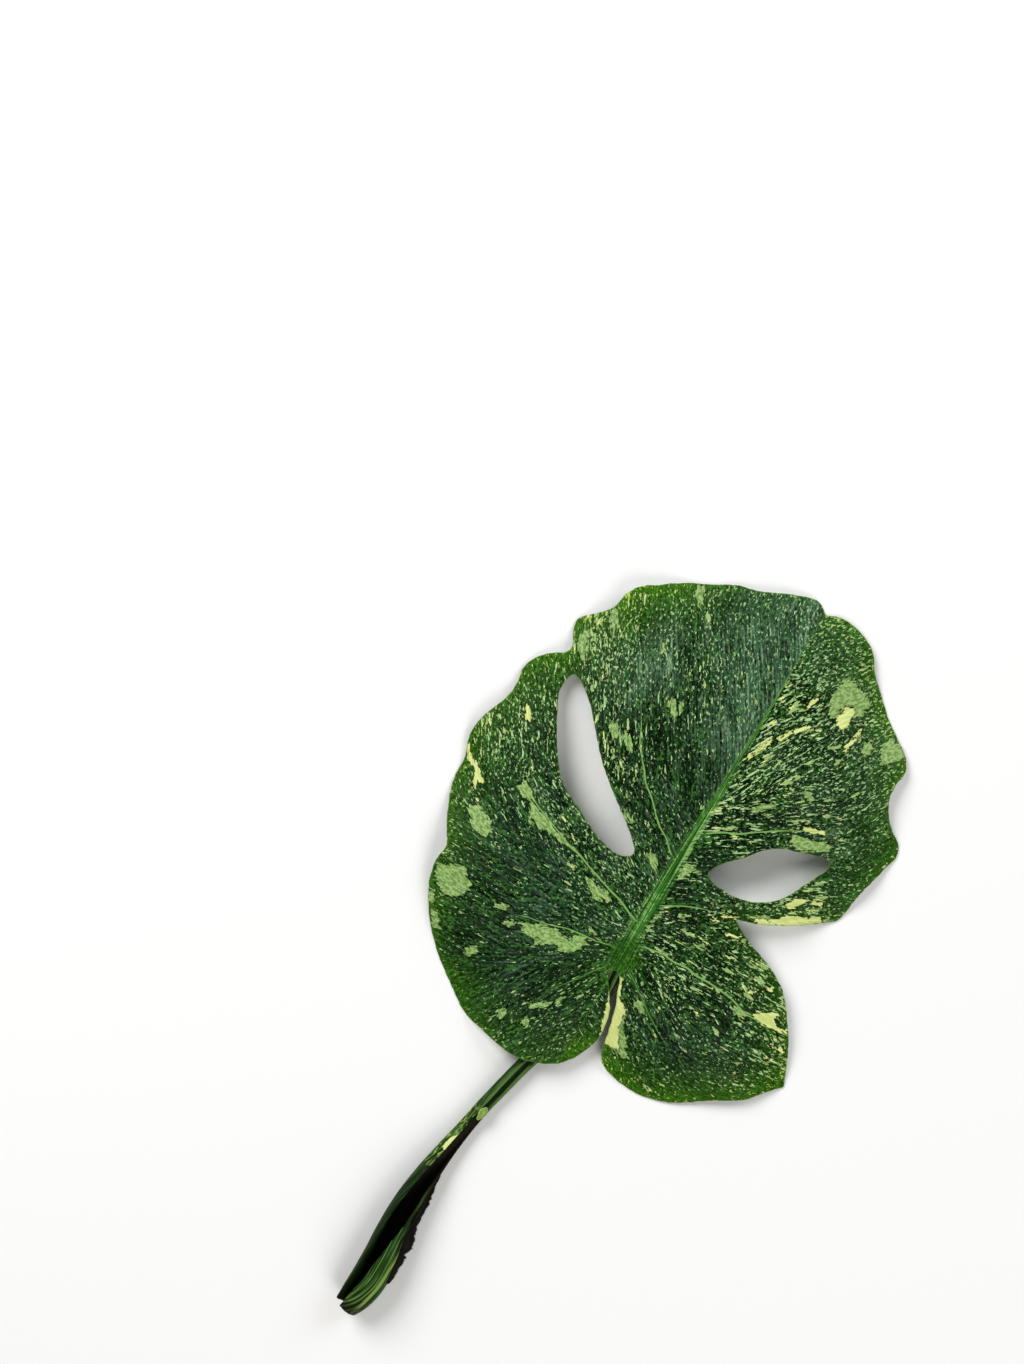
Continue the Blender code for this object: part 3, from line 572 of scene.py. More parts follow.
def raiseVeins(sheet, veins, shift):
    # raises the veins below the leaf and sinks them a little above it, by their own width
    points, edges, radii = [], [], []
    for width, line in zip([midrib[0]] + [width for width, _ in sideVeins], veins):
        edges += [(len(points) + i, len(points) + i + 1) for i in range(len(line) - 1)]
        points += [(x * mm, y * mm, 0) for x, y in line + (shift.x, shift.y)]
        radii += list(veinHalfWidth(width, np.linspace(0, 1, len(line))) * mm)
    guide = asMesh("vein_lines", points, (), {"veinRadius": radii}, edges)
    tree, given = newTree("raise veins", {"Veins": "Object", "Ridge": "Float", "Groove": "Float"})
    lines = addNode(tree, "GeometryNodeObjectInfo", {"Object": given["Veins"]}).outputs["Geometry"]
    place = addNode(tree, "GeometryNodeInputPosition")
    flat = addNode(tree, "ShaderNodeVectorMath", {0: place, 1: (1, 1, 0)}, operation="MULTIPLY")
    near = addNode(tree, "GeometryNodeProximity", {0: lines, "Source Position": flat}, target_element="EDGES")
    index = addNode(tree, "GeometryNodeSampleNearest", {0: lines, 1: near.outputs["Position"]})
    radius = addNode(tree, "GeometryNodeInputNamedAttribute", {"Name": "veinRadius"}, data_type="FLOAT")
    width = addNode(tree, "GeometryNodeSampleIndex", {0: lines, 1: radius, 2: index}, data_type="FLOAT")
    # below: a half round ridge with a soft foot; above: a shallow furrow
    ratio = addNode(tree, "ShaderNodeMath", {0: near.outputs["Distance"], 1: width}, operation="DIVIDE")
    squared = addNode(tree, "ShaderNodeMath", {0: ratio, 1: 2.0}, operation="POWER")
    bell = addNode(tree, "ShaderNodeMath", {0: squared, 1: -1.1}, operation="MULTIPLY")
    bell = addNode(tree, "ShaderNodeMath", {0: bell}, operation="EXPONENT")
    side = addNode(tree, "GeometryNodeInputNamedAttribute", {"Name": "underside"}, data_type="FLOAT")
    ridge = addNode(tree, "ShaderNodeMath", {0: width, 1: given["Ridge"]}, operation="MULTIPLY")
    groove = addNode(tree, "ShaderNodeMath", {0: width, 1: given["Groove"]}, operation="MULTIPLY")
    sink = addNode(tree, "ShaderNodeMix", {0: side, 2: groove, 3: ridge})
    depth = addNode(tree, "ShaderNodeMath", {0: bell, 1: sink}, operation="MULTIPLY")
    drop = addNode(tree, "ShaderNodeMath", {0: depth, 1: -1.0}, operation="MULTIPLY")
    offset = addNode(tree, "ShaderNodeCombineXYZ", {"Z": drop})
    moved = addNode(tree, "GeometryNodeSetPosition", {0: given["Geometry"], "Offset": offset})
    return applyTree(sheet, guide, tree, given, moved, "leaf_blade_visual", {
        "Veins": guide, "Ridge": leaf["ridgeHeight"], "Groove": leaf["grooveDepth"], "Material": waxyLeaf()})


def restOnTable(piece):
    # no point lies below the table
    for vertex in piece.data.vertices:
        vertex.co.z = max(vertex.co.z, 0.0)


def fromHex(code):
    parts = [int(code[i:i + 2], 16) / 255 for i in (1, 3, 5)]
    return [c / 12.92 if c <= 0.04045 else ((c + 0.055) / 1.055) ** 2.4 for c in parts] + [1.0]


def newMaterial(name):
    material = bpy.data.materials.new(name)
    material.use_nodes = True
    tree = material.node_tree
    return material, tree, tree.nodes["Principled BSDF"]


def layTissue(tree, value, look, sums, coats, blend="SMOOTHSTEP"):
    # Sums: a constant, then values with their weights. Coats: name, the colours below and above, strength,
    # and the values that show it, each with where it starts and where it is full, or a name alone.
    for name, (total, parts) in sums.items():
        for part, weight in parts.items():
            total = addNode(tree, "ShaderNodeMath", {0: value[part], 1: weight, 2: total},
                            operation="MULTIPLY_ADD")
        value[name] = total
    colours = {name: fromHex(code) for name, code in look.items() if isinstance(code, str)}
    for name, below, above, strength, *steps in coats:
        share = value.get(strength, strength)
        for step in steps:
            if isinstance(step, str):
                share = addNode(tree, "ShaderNodeMath", {0: value[step], 1: share}, operation="MULTIPLY")
            else:
                key, starts, full = step
                share = addNode(tree, "ShaderNodeMapRange", {0: value[key], 1: starts, 2: full, 4: share},
                                interpolation_type=blend)
        colours[name] = addNode(tree, "ShaderNodeMix", {0: share, 6: colours[below], 7: colours[above]},
                                data_type="RGBA")
    return colours["skin"]


def dress(tree, shader, colour, height, depth, strength, rough, ior, specular=0.5):
    # the shader's own sockets, with the relief as a bump
    bump = addNode(tree, "ShaderNodeBump", {"Height": height, "Distance": depth, "Strength": strength})
    tree.links.new(colour.outputs[2], shader.inputs["Base Color"])
    tree.links.new(bump.outputs[0], shader.inputs["Normal"])
    if isinstance(rough, bpy.types.Node):
        tree.links.new(rough.outputs[0], shader.inputs["Roughness"])
    else:
        shader.inputs["Roughness"].default_value = rough
    shader.inputs["IOR"].default_value = ior
    shader.inputs["Specular IOR Level"].default_value = specular


waxyLeafLook = {
    "dark": "#020901", "middle": "#183d10", "bright": "#356624", "speck": "#a8d08c", "speckYellow": "#b7d556",
    # grey and greyLight: grey green tissue mixed with a painted sheen
    "grey": "#44694a", "greyLight": "#87ab86", "patch": "#9fbe74", "patchDark": "#6c8e4e", "fleck": "#bddd9a",
    "cream": "#dde796", "creamDark": "#c8d57c", "vein": "#84b45e", "veinBand": "#2c5f1e",
    "midribDark": "#1f4a14", "midribMiddle": "#3f7a2a", "midribLight": "#86b563",
    "hub": "#1c430a", "hubLight": "#427422", "yellow": "#437e11", "edge": "#7d9d4a", "under": "#86a272",
    "roughness": 0.4,
    "grains": {     # length and width in mm, about twice a spot's own size, then detail and roughness
        "speck": (2.1, 1.1, 3.0, 0.62), "fleck": (8.0, 1.45, 2.0, 0.6), "streak": (12.0, 2.7, 3.0, 0.6),
        "fibre": (14.0, 1.2, 1.0, 0.5),
    },
}


def waxyLeaf():
    # living leaf tissue under a thin wax: a satin gloss that breaks up over fine relief, with part of its
    # sheen painted into the colour as grey green
    look = waxyLeafLook
    material, tree, shader = newMaterial("waxy variegated leaf tissue")
    value = {key: addNode(tree, "ShaderNodeAttribute", attribute_name=key).outputs["Fac"] for key in (
        "specks", "streaks", "greyAndPaintedSheen", "yellowness", "greenPatch", "creamPatch", "midribAcross", "veinGap",
        "veinLine", "veinBand", "hub", "edgeGap", "underside")}
    place = addNode(tree, "ShaderNodeTexCoord").outputs["Object"]
    shares = []
    for key in ("grainA", "grainB"):
        wanted = addNode(tree, "ShaderNodeAttribute", attribute_name=key).outputs["Vector"]
        shares += list(addNode(tree, "ShaderNodeSeparateXYZ", {0: wanted}).outputs)

    # each grain is three noises at once, drawn out along the tissue's direction
    for grain, (length, width, detail, roughness) in look["grains"].items():
        total = (0, 0, 0)
        for k, share in enumerate(shares):
            turned = addNode(tree, "ShaderNodeMapping", {
                "Vector": place, "Location": (0.031 * k, 0.017 * k, 0),
                "Rotation": (0, 0, math.radians(30 * k)),
                "Scale": (length * mm, width * mm, width * mm)}, vector_type="TEXTURE")
            cloud = addNode(tree, "ShaderNodeTexNoise", {
                "Vector": turned, "Scale": 1.0, "Detail": detail, "Roughness": roughness},
                noise_dimensions="2D")
            centred = addNode(tree, "ShaderNodeVectorMath", {0: cloud.outputs["Color"], 1: (0.5, 0.5, 0.5)},
                              operation="SUBTRACT")
            weighed = addNode(tree, "ShaderNodeVectorMath", {0: centred, "Scale": share}, operation="SCALE")
            total = addNode(tree, "ShaderNodeVectorMath", {0: weighed, 1: total}, operation="ADD")
        for letter, part in zip("ABC", addNode(tree, "ShaderNodeSeparateXYZ", {0: total}).outputs):
            value[grain + letter] = part

    value["midribSpan"] = addNode(tree, "ShaderNodeMath", {0: value["midribAcross"]}, operation="ABSOLUTE")
    across = addNode(tree, "ShaderNodeMath", {0: value["midribAcross"], 1: 4.6}, operation="MULTIPLY")
    along = addNode(tree, "ShaderNodeSeparateXYZ", {0: place}).outputs["Y"]
    along = addNode(tree, "ShaderNodeMath", {0: along, 1: 22.0}, operation="MULTIPLY")
    spot = addNode(tree, "ShaderNodeCombineXYZ", {0: across, 1: along})
    value["lines"] = addNode(tree, "ShaderNodeTexNoise", {"Vector": spot, "Scale": 1.0, "Detail": 1.0},
                             noise_dimensions="2D").outputs["Fac"]
    for name, width in (("bandWay", "veinBand"), ("lineWay", "veinLine")):
        value[name] = addNode(tree, "ShaderNodeMath", {0: value["veinGap"], 1: value[width]},
                              operation="DIVIDE")
    value["speckStrength"] = addNode(tree, "ShaderNodeMapRange", {
        0: value["speckC"], 1: -0.12, 2: 0.08, 3: 0.52, 4: 0.97}, interpolation_type="SMOOTHSTEP")

    sums = {
        "tone": (-0.16, {"specks": 0.24, "fibreB": 0.6, "speckB": 1}),
        "brightHere": (0, {"streakC": 0.8, "speckC": 1}),
        "greySheenGrain": (0.66, {"speckC": 2, "fibreA": 2}),
        "greySheenFibre": (0, {"speckA": 0.8, "fibreC": 1}),
        "yellowGrain": (0.62, {"speckC": 2.2}),
        "aboveSpeck": (-0.215, {"specks": 0.19, "speckA": 1}),
        "aboveFleck": (-0.26, {"streaks": 0.17, "fleckA": 1}),
        "aboveStreak": (-0.255, {"streaks": 0.17, "streakA": 1, "speckB": 0.25}),
        "creamHere": (0, {"streaks": 0.14, "streakC": 1}),
        "greenDepth": (0, {"fleckB": 4.5, "speckA": 3.8, "greenPatch": 1}),     # patches are ragged
        "creamDepth": (0, {"fleckB": 2.7, "speckA": 2.28, "creamPatch": 1}),
        "bandEdge": (0, {"midribSpan": 1, "speckA": 1.3, "fibreA": 1.6}),
        "lightLines": (0, {"lines": 1, "fleckB": 0.5}),
        "veinEdge": (0, {"bandWay": 1, "speckA": 1.6}),
        "lineEdge": (0, {"lineWay": 1, "fibreB": 1.6}),
        "hubHere": (0, {"hub": 1, "fibreB": 0.9}),
        "hubLines": (0, {"lines": 1, "speckB": 1.2}),
        "height": (0, {"speckA": 0.5, "streakB": 1, "fibreC": 0.6}),
        "rough": (look["roughness"], {"speckC": 0.25, "underside": 0.18}),
    }
    coats = [
        # ground: near black green to mid green, darker where there are few specks, greyer in places, where
        # grey tissue and a painted sheen mix
        ("skin", "dark", "middle", 1, ("tone", -0.06, 0.17)),
        ("skin", "skin", "bright", 1, ("brightHere", 0.04, 0.2)),
        # painted sheen: the grey tone stands partly for a sheen reflected off some slopes, painted into the
        # colour
        ("greySheenTone", "grey", "greyLight", 1, ("greySheenFibre", 0.0, 0.2)),
        ("skin", "skin", "greySheenTone", "greySheenGrain", "greyAndPaintedSheen"),
        ("skin", "skin", "yellow", "yellowGrain", "yellowness"),
        # specks, with a darker ring round each
        ("skin", "skin", "dark", 0.6, ("aboveSpeck", -0.07, -0.01), ("aboveSpeck", 0.03, 0.0)),
        ("speckColour", "speck", "speckYellow", 1, "yellowness"),
        ("skin", "skin", "speckColour", "speckStrength", ("aboveSpeck", 0.0, 0.03)),
        # flecks drawn out along the tissue
        ("skin", "skin", "dark", 0.55, ("aboveFleck", -0.06, 0.0)),
        ("fleckColour", "speckColour", "fleck", 1, ("fleckB", -0.04, 0.06)),
        ("skin", "skin", "fleckColour", 0.9, ("aboveFleck", 0.0, 0.025)),
        # longer streaks of grey green, some of them cream
        ("skin", "skin", "dark", 0.6, ("aboveStreak", -0.07, 0.0)),
        ("streakColour", "patch", "cream", 1, ("creamHere", 0.13, 0.17)),
        ("skin", "skin", "streakColour", 0.92, ("aboveStreak", 0.0, 0.02)),
        # whole patches
        ("skin", "skin", "dark", 0.65, ("greenDepth", -1.3, -0.1)),
        ("patchTone", "patchDark", "patch", 1, ("speckB", -0.1, 0.1)),
        ("skin", "skin", "patchTone", 1, ("greenDepth", -0.15, 0.15)),
        ("skin", "skin", "dark", 0.55, ("creamDepth", -1.0, -0.1)),
        ("creamTone", "creamDark", "cream", 1, ("fibreB", -0.15, 0.15)),
        ("skin", "skin", "creamTone", 1, ("creamDepth", -0.15, 0.15)),
        # the midrib: a green band with pale lines that close up towards the tip
        ("strand", "midribDark", "midribMiddle", 1, ("lines", 0.36, 0.52)),
        ("strand", "strand", "midribLight", 1, ("lightLines", 0.56, 0.68)),
        ("skin", "skin", "strand", 0.88, ("bandEdge", 1.15, 0.6)),
        # side veins: a thin pale line, in a green band near the root
        ("skin", "skin", "veinBand", 0.7, ("veinEdge", 1.0, 0.5)),
        ("skin", "skin", "vein", 0.85, ("lineEdge", 1.2, 0.7)),
        # where they meet, plain deep green
        ("hubTone", "hub", "hubLight", 1, ("hubLines", 0.46, 0.74)),
        ("skin", "skin", "hubTone", 0.85, ("hubHere", 0.2, 0.75)),
        ("skin", "skin", "edge", 0.35, ("edgeGap", 0.5, 0.2)),
        # the under side shows the same pattern, paler and milky
        ("skin", "skin", "under", 0.62, "underside"),
    ]
    colour = layTissue(tree, value, look, sums, coats)
    dress(tree, shader, colour, value["height"], 0.0002, 0.6, value["rough"], 1.43, 0.03)
    return material


sheetPiece, veinLines, leafShift = makeLeaf()
leafBlade = raiseVeins(sheetPiece, veinLines, leafShift)
restOnTable(leafBlade)
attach(leafBlade, "root")
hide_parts("leaf_blade")
print("leaf blade:", len(leafBlade.data.polygons), "faces")

# Stalk: (x, y), half its width, how far its channel is turned to the left, and how far round the outside
# its rims stand, in degrees.
stalk = {
    "sections": [
        (-1.8, 1.0, 3.6, 0, 62), (-1.3, -6, 3.6, 0, 62), (-1.6, -13, 3.6, 0, 62), (-3.6, -22, 3.6, -2, 62),
        (-7.4, -34, 3.6, -6, 62), (-11.4, -46, 3.6, -10, 62), (-15.6, -58, 3.6, -14, 62),
        (-19, -71, 3.6, -18, 62), (-22.2, -84, 3.5, -26, 58), (-25, -98, 3.7, -32, 50),
        (-27.6, -112, 4.6, -32, 46), (-29.6, -126, 5.7, -22, 46), (-30.6, -140, 6.7, -8, 50),
        (-30.2, -154, 7.6, 14, 60), (-29, -168, 8.3, 34, 66), (-28.8, -180, 8.5, 46, 68),
        (-30, -189, 7.6, 50, 68), (-31.4, -195, 6.2, 50, 68),
    ],
    "stations": 300,
    "outside": 72,              # points round the outside of a section
    "inside": 40,               # and across its groove or channel
    "ribDepth": 0.018,          # of the fine ribs along it, as a share of its half width
    "ribs": 19,
    "top": 10.3,
    "downAt": -48.0,            # from here on it lies on the table
    "sheathStarts": -80.0,
    "sheathOpen": -132.0,
    "grooveDepth": 0.7,
    "channelFloor": 3.0,
    "endLean": 0.42,
    "cutSteps": (0.03, 0.12, 0.3, 0.55, 0.8),       # rings on a cut end, as shares of the way in
    "cutRough": 0.25,
    "pithHeight": 2.0,
}
stalkLook = {
    # deep and channel are painted shade, darkening the groove and the channel as if in shadow
    "green": "#204414", "dark": "#071604", "light": "#6a9446", "deep": "#081506", "channel": "#0a0d05",
    # painted shade for the left flank of the sheath
    "shadedWall": "#122409", "cream": "#dbe694", "pale": "#93b04e", "brown": "#160d08", "scar": "#4a3a22",
    "scarPith": "#8b8a55", "channelBrown": "#24150d", "roughness": 0.45,
    "clouds": {"stripe": (1.3, 70.0), "fine": (0.6, 24.0), "fleck": (1.1, 3.0)},    # mm round it and along it
}
stalkCream = [
    [(-30, -109), (-28.8, -104.6), (-26.6, -100.2), (-24.6, -97.2), (-23.2, -97.6), (-23.6, -101.2),
     (-25.4, -105.4), (-28, -110)],
    [(-24.2, -97), (-22.6, -92), (-21.6, -90), (-21.4, -92), (-22.6, -96)],
    [(-23.4, -88.5), (-21, -84.6), (-20, -84), (-20.4, -86), (-22, -89.6)],
    [(-26.6, -116), (-25.9, -111), (-25.2, -110), (-25.4, -114)],
]


def smoothRows(rows, keys):
    # the rows' values at other keys, on rounded curves; the first value of a row is its key
    rows = np.array(rows, float)
    at = -rows[:, 0]
    keys = -np.asarray(keys, float)
    slopes = np.gradient(rows, at, axis=0)
    i = np.clip(np.searchsorted(at, keys, side="right") - 1, 0, len(at) - 2)
    span = (at[i + 1] - at[i])[:, None]
    t = (keys - at[i])[:, None] / span
    return ((2 * t ** 3 - 3 * t ** 2 + 1) * rows[i] + (t ** 3 - 2 * t ** 2 + t) * span * slopes[i]
            + (3 * t ** 2 - 2 * t ** 3) * rows[i + 1] + (t ** 3 - t ** 2) * span * slopes[i + 1])


def stalkAt(ys):
    rows = smoothRows([(y, x, half, turn, rim) for x, y, half, turn, rim in stalk["sections"]], ys)
    lift = np.clip((np.asarray(ys) - stalk["downAt"]) / -stalk["downAt"], 0, 1) ** 1.4
    starts, full = stalk["sheathStarts"], stalk["sheathOpen"]
    opened = np.clip((starts - np.asarray(ys)) / (starts - full), 0, 1)
    opened = opened * opened * (3 - 2 * opened)
    sections = []
    for y, (_, x, half, turn, rim), up, gap in zip(ys, rows, lift, opened):
        place = Vector((x, y, half + (stalk["top"] - half) * up))
        sections.append((place, half, math.radians(turn), math.radians(rim), gap))
    return sections


def stalkAxes(places, i):
    run = (places[min(i + 1, len(places) - 1)] - places[max(i - 1, 0)]).normalized()
    right = run.cross(Vector((0, 0, -1))).normalized()
    up = right.cross(run).normalized()
    return (right, up) if up.z > 0 else (right, -up)


def stalkRing(half, rim, opened):
    # a section: places across and up, then how far round it is, which flank, and how deep in the hollow
    groove = stalk["grooveDepth"]
    depth = groove + (half * (1 + math.sin(rim)) - stalk["channelFloor"] - groove) * opened
    ring = []
    for k in range(stalk["outside"]):
        angle = math.pi - rim + (math.pi + 2 * rim) * k / (stalk["outside"] - 1)
        furrow = stalk["ribDepth"] * (0.5 + 0.5 * math.cos(angle * stalk["ribs"])) * min(1, opened + 0.5)
        reach = half * (1 - furrow)
        low = angle - 1.5 * math.pi
        ring.append((reach * math.cos(angle), reach * math.sin(angle), half * low,
                     low / (math.pi / 2 + rim), 0.0))
    for k in range(1, stalk["inside"] + 1):
        share = k / (stalk["inside"] + 1)
        bend = math.sin(math.pi * share)
        drop = bend + (math.sqrt(bend) - bend) * min(1, opened * 3)     # a groove is a V, a channel a U
        shallow, steep = 0.35 * bend ** 3, min(1, bend * 1.6)
        ring.append((half * math.cos(rim) * math.cos(math.pi * share), half * math.sin(rim) - depth * drop,
                     60 + half * 3 * share, 1 - 2 * share,
                     shallow + (steep - shallow) * min(1, opened * 2.5)))
    return ring


def makeStalk(shift):
    ys = np.linspace(stalk["sections"][0][1] - 0.3, stalk["sections"][-1][1], stalk["stations"])
    sections = stalkAt(ys)
    places = [section[0] for section in sections]
    points, faces, keep = [], [], {"round": [], "flank": [], "hollow": [], "cut": []}
    total = stalk["outside"] + stalk["inside"]

    def join(start, after, inward):
        # a band of faces between two rings
        for k in range(total):
            n = (k + 1) % total
            band = (start + k, start + n, after + n, after + k)
            faces.append(band[::-1] if inward else band)

    for i, (place, half, turn, rim, opened) in enumerate(sections):
        right, up = stalkAxes(places, i)
        ring = stalkRing(half, rim, opened)
        c, s = math.cos(turn), math.sin(turn)
        laid = [place + right * (u * c - v * s) + up * (u * s + v * c) for u, v, *_ in ring]
        if i == 0:
            top = max(p.z for p in laid)
            laid = [p + Vector((0, (top - p.z) * stalk["endLean"], 0)) for p in laid]
        points += [(p + shift) * mm for p in laid]
        for column, key in ((2, "round"), (3, "flank"), (4, "hollow")):
            keep[key] += [item[column] for item in ring]
        keep["cut"] += [0.0] * total
        if i:
            join((i - 1) * total, i * total, False)
    # the ends: rings that step inwards to a middle point, so that a cut shows its layers
    for i, out in ((0, 1), (len(ys) - 1, -1)):
        start = i * total
        outer = points[start:start + total]
        middle = sum(outer, Vector()) / total
        middle.z = min(p.z for p in outer) + stalk["pithHeight"] * mm
        for inset in stalk["cutSteps"]:
            after = len(points)
            for k, p in enumerate(outer):
                rough = out * stalk["cutRough"] * mm * math.sin(inset * 9 + k)
                points.append(p.lerp(middle, inset) + Vector((0, rough, 0)))
            for key in ("round", "flank", "hollow"):
                keep[key] += [0.0] * total
            keep["cut"] += [1.0 + inset] * total
            join(start, after, out > 0)
            start = after
        after = len(points)
        points.append(middle)
        for key in ("round", "flank", "hollow"):
            keep[key].append(0.0)
        keep["cut"].append(2.0)
        for k in range(total):
            fan = (start + k, start + (k + 1) % total, after)
            faces.append(fan[::-1] if out > 0 else fan)
    plan = np.array([(p[0], p[1]) for p in points]) / mm - (shift.x, shift.y)
    keep["creamPatch"] = patchDepth(plan, stalkCream)
    keep["along"] = plan[:, 1]
    piece = asMesh("petiole_visual", points, faces, keep)
    straighten(piece)
    piece.data.materials.append(stalkSkin())
    return piece


def straighten(piece):
    # every face outward
    work = bmesh.new()
    work.from_mesh(piece.data)
    bmesh.ops.recalc_face_normals(work, faces=work.faces[:])
    work.to_mesh(piece.data)
    work.free()


def stalkSkin():
    # living stalk skin: smooth and moist, striped along its length, with a satin gloss
    look = stalkLook
    material, tree, shader = newMaterial("smooth striped stalk skin")
    value = {key: addNode(tree, "ShaderNodeAttribute", attribute_name=key).outputs["Fac"]
             for key in ("round", "flank", "hollow", "cut", "creamPatch", "along")}
    for name, (width, length) in look["clouds"].items():
        across = addNode(tree, "ShaderNodeMath", {0: value["round"], 1: width}, operation="DIVIDE")
        along = addNode(tree, "ShaderNodeMath", {0: value["along"], 1: length}, operation="DIVIDE")
        spot = addNode(tree, "ShaderNodeCombineXYZ", {0: across, 1: along})
        made = addNode(tree, "ShaderNodeTexNoise", {"Vector": spot, "Scale": 1.0, "Detail": 2.0},
                       noise_dimensions="2D").outputs["Color"]
        parts = addNode(tree, "ShaderNodeSeparateXYZ", {0: made}).outputs
        value[name + "A"], value[name + "B"] = parts[0], parts[1]
    offStripe = addNode(tree, "ShaderNodeMath", {0: value["flank"], 1: 0.62}, operation="SUBTRACT")
    for name, source in (("flankSpan", value["flank"]), ("stripeGap", offStripe)):
        value[name] = addNode(tree, "ShaderNodeMath", {0: source}, operation="ABSOLUTE")
    value["cutHere"] = addNode(tree, "ShaderNodeMapRange", {0: value["cut"], 1: 0.4, 2: 0.9},
                               interpolation_type="SMOOTHSTEP")

    sums = {
        "creamDepth": (-1, {"fleckB": 2, "creamPatch": 1}),
        "stripeEdge": (-0.1, {"fineA": 0.2, "stripeGap": 1}),
        "rimEdge": (-0.1, {"fineA": 0.2, "flankSpan": 1}),
        "brownEdge": (-0.15, {"fineB": 0.3, "flank": 1}),
        "hollowShadeEdge": (-0.2, {"fineB": 0.4, "hollow": 1}),
        "pithEdge": (0, {"fleckA": 0.6, "cut": 1}),
        "baseEdge": (0, {"fleckA": 8, "along": 1}),
        "height": (0, {"fleckB": 0.4, "fineA": 1}),
        "rough": (look["roughness"] - 0.1, {"cutHere": 0.3, "fineB": 0.2}),
    }
    sheath = ("along", -96, -128)
    near = (("along", -82, -90), ("along", -124, -112))     # the upper sheath
    coats = [
        ("skin", "green", "dark", 1, ("stripeA", 0.42, 0.5)),
        ("skin", "skin", "light", 0.7, ("stripeB", 0.57, 0.64)),
        ("skin", "skin", "light", 0.65, ("fineA", 0.56, 0.64)),
        ("skin", "skin", "dark", 0.8, ("fineB", 0.52, 0.6)),
        # the left flank of the sheath is painted darker as shade, and specks gather on the upper sheath
        ("skin", "skin", "shadedWall", 0.85, sheath, ("flank", -0.45, -0.8)),
        ("skin", "skin", "pale", 0.8, *near, ("fleckA", 0.56, 0.6)),
        ("skin", "skin", "cream", 0.95, ("creamDepth", -0.2, 0.1), ("flankSpan", 0.45, 0.6)),
        # one long pale stripe down the right of the open sheath
        ("skin", "skin", "pale", 0.75, ("stripeEdge", 0.05, 0.025), sheath),
        # pale lines run beside the groove, and its right rim browns where the sheath begins
        ("skin", "skin", "light", 0.6, ("rimEdge", 0.84, 0.92), ("along", -92, -84)),
        ("skin", "skin", "channelBrown", 0.9, ("along", -85, -92), ("along", -138, -124),
         ("brownEdge", 0.3, 0.5)),
        # painted shade in the hollow: the groove is a dark line, the channel nearly black
        ("inside", "deep", "channel", 1, sheath),
        ("inside", "inside", "channelBrown", 1, *near, ("stripeB", 0.4, 0.6)),
        ("skin", "skin", "inside", 1, ("hollowShadeEdge", 0.14, 0.26)),
        # browned where it was cut, with a paler middle
        ("cutTone", "scar", "scarPith", 1, ("pithEdge", 1.4, 1.7)),
        ("skin", "skin", "cutTone", "cutHere"),
        ("skin", "skin", "brown", 0.8, ("baseEdge", -184, -191)),
    ]
    colour = layTissue(tree, value, look, sums, coats)
    dress(tree, shader, colour, value["height"], 0.0003, 0.5, value["rough"], 1.42, 0.07)
    return material


lowShift = Vector((leafShift.x, leafShift.y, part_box("petiole")[0].z / mm))
petiole = makeStalk(lowShift)
restOnTable(petiole)
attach(petiole, "root")
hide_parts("petiole")
print("petiole:", len(petiole.data.polygons), "faces")

# The torn tip of the sheath lies over the groove's end: y, its middle angle, half its spread, and lift.
sheathTip = {
    "rows": [(-83.2, 74, 4, 0.4), (-84.6, 73, 17, 0.6), (-86.2, 71, 25, 0.7), (-87.8, 69, 22, 0.5),
             (-89.4, 67, 13, 0.3), (-90.4, 66, 5, 0.1)],
    "thickness": 0.3, "gap": 0.22, "stations": 60, "across": 22,
    "ragged": 0.22, "curl": 0.5, "crumple": 0.12,
    "colour": "#8fae45", "veined": "#3f6a20", "torn": "#b4c66c", "roughness": 0.45,
    "noises": {"threads": (0.22, 4.0, 3.0)},    # share of its width, mm along, detail
}
# The withered wing along the sheath: y, the angles of its root and its free edge, how far that stands off.
wing = {
    "rows": [(-121, 22, 14, 0.0), (-128, 24, 2, 0.7), (-136, 32, -10, 1.6), (-143, 36, -15, 2.5),
             (-153, 36, -17, 3.0), (-162, 34, -14, 2.6), (-170, 30, -8, 1.4), (-176, 26, 0, 0.3)],
    "thickness": 0.3, "gap": 0.24, "stations": 260, "across": 16, "wave": 0.45, "ragged": 0.34,
    "crumple": 0.35,
    "fibres": 190, "fibreLength": 0.75, "fibreThickness": 0.05, "seed": 7,
    "dark": "#070503", "brown": "#130c07", "pale": "#221911", "roughness": 0.85,
    "noises": {"threads": (0.09, 11.0, 4.0), "blotch": (0.6, 6.0, 3.0)},
}


def thickSheet(name, grid, thickness, attributes):
    # a closed thin sheet from a grid of points
    along, across = np.gradient(grid, axis=0), np.gradient(grid, axis=1)
    normal = np.cross(along, across)
    normal /= np.linalg.norm(normal, axis=2)[:, :, None]
    rows, columns = grid.shape[:2]
    sides = [(grid + normal * half).reshape(-1, 3) for half in (thickness / 2, -thickness / 2)]
    count = rows * columns
    faces = []
    for i in range(rows - 1):
        for k in range(columns - 1):
            a, b = i * columns + k, (i + 1) * columns + k
            faces += [(a, b, b + 1, a + 1), (count + a + 1, count + b + 1, count + b, count + a)]
    loop = ([(0, k) for k in range(columns)] + [(i, columns - 1) for i in range(1, rows)]
            + [(rows - 1, k) for k in range(columns - 2, -1, -1)] + [(i, 0) for i in range(rows - 2, 0, -1)])
    loop = [i * columns + k for i, k in loop]
    faces += [(a, b, count + b, count + a) for a, b in zip(loop, loop[1:] + loop[:1])]
    doubled = {key: np.concatenate([np.ravel(value)] * 2) for key, value in attributes.items()}
    sheet = asMesh(name, np.vstack(sides) * mm, faces, doubled)
    straighten(sheet)
    return sheet


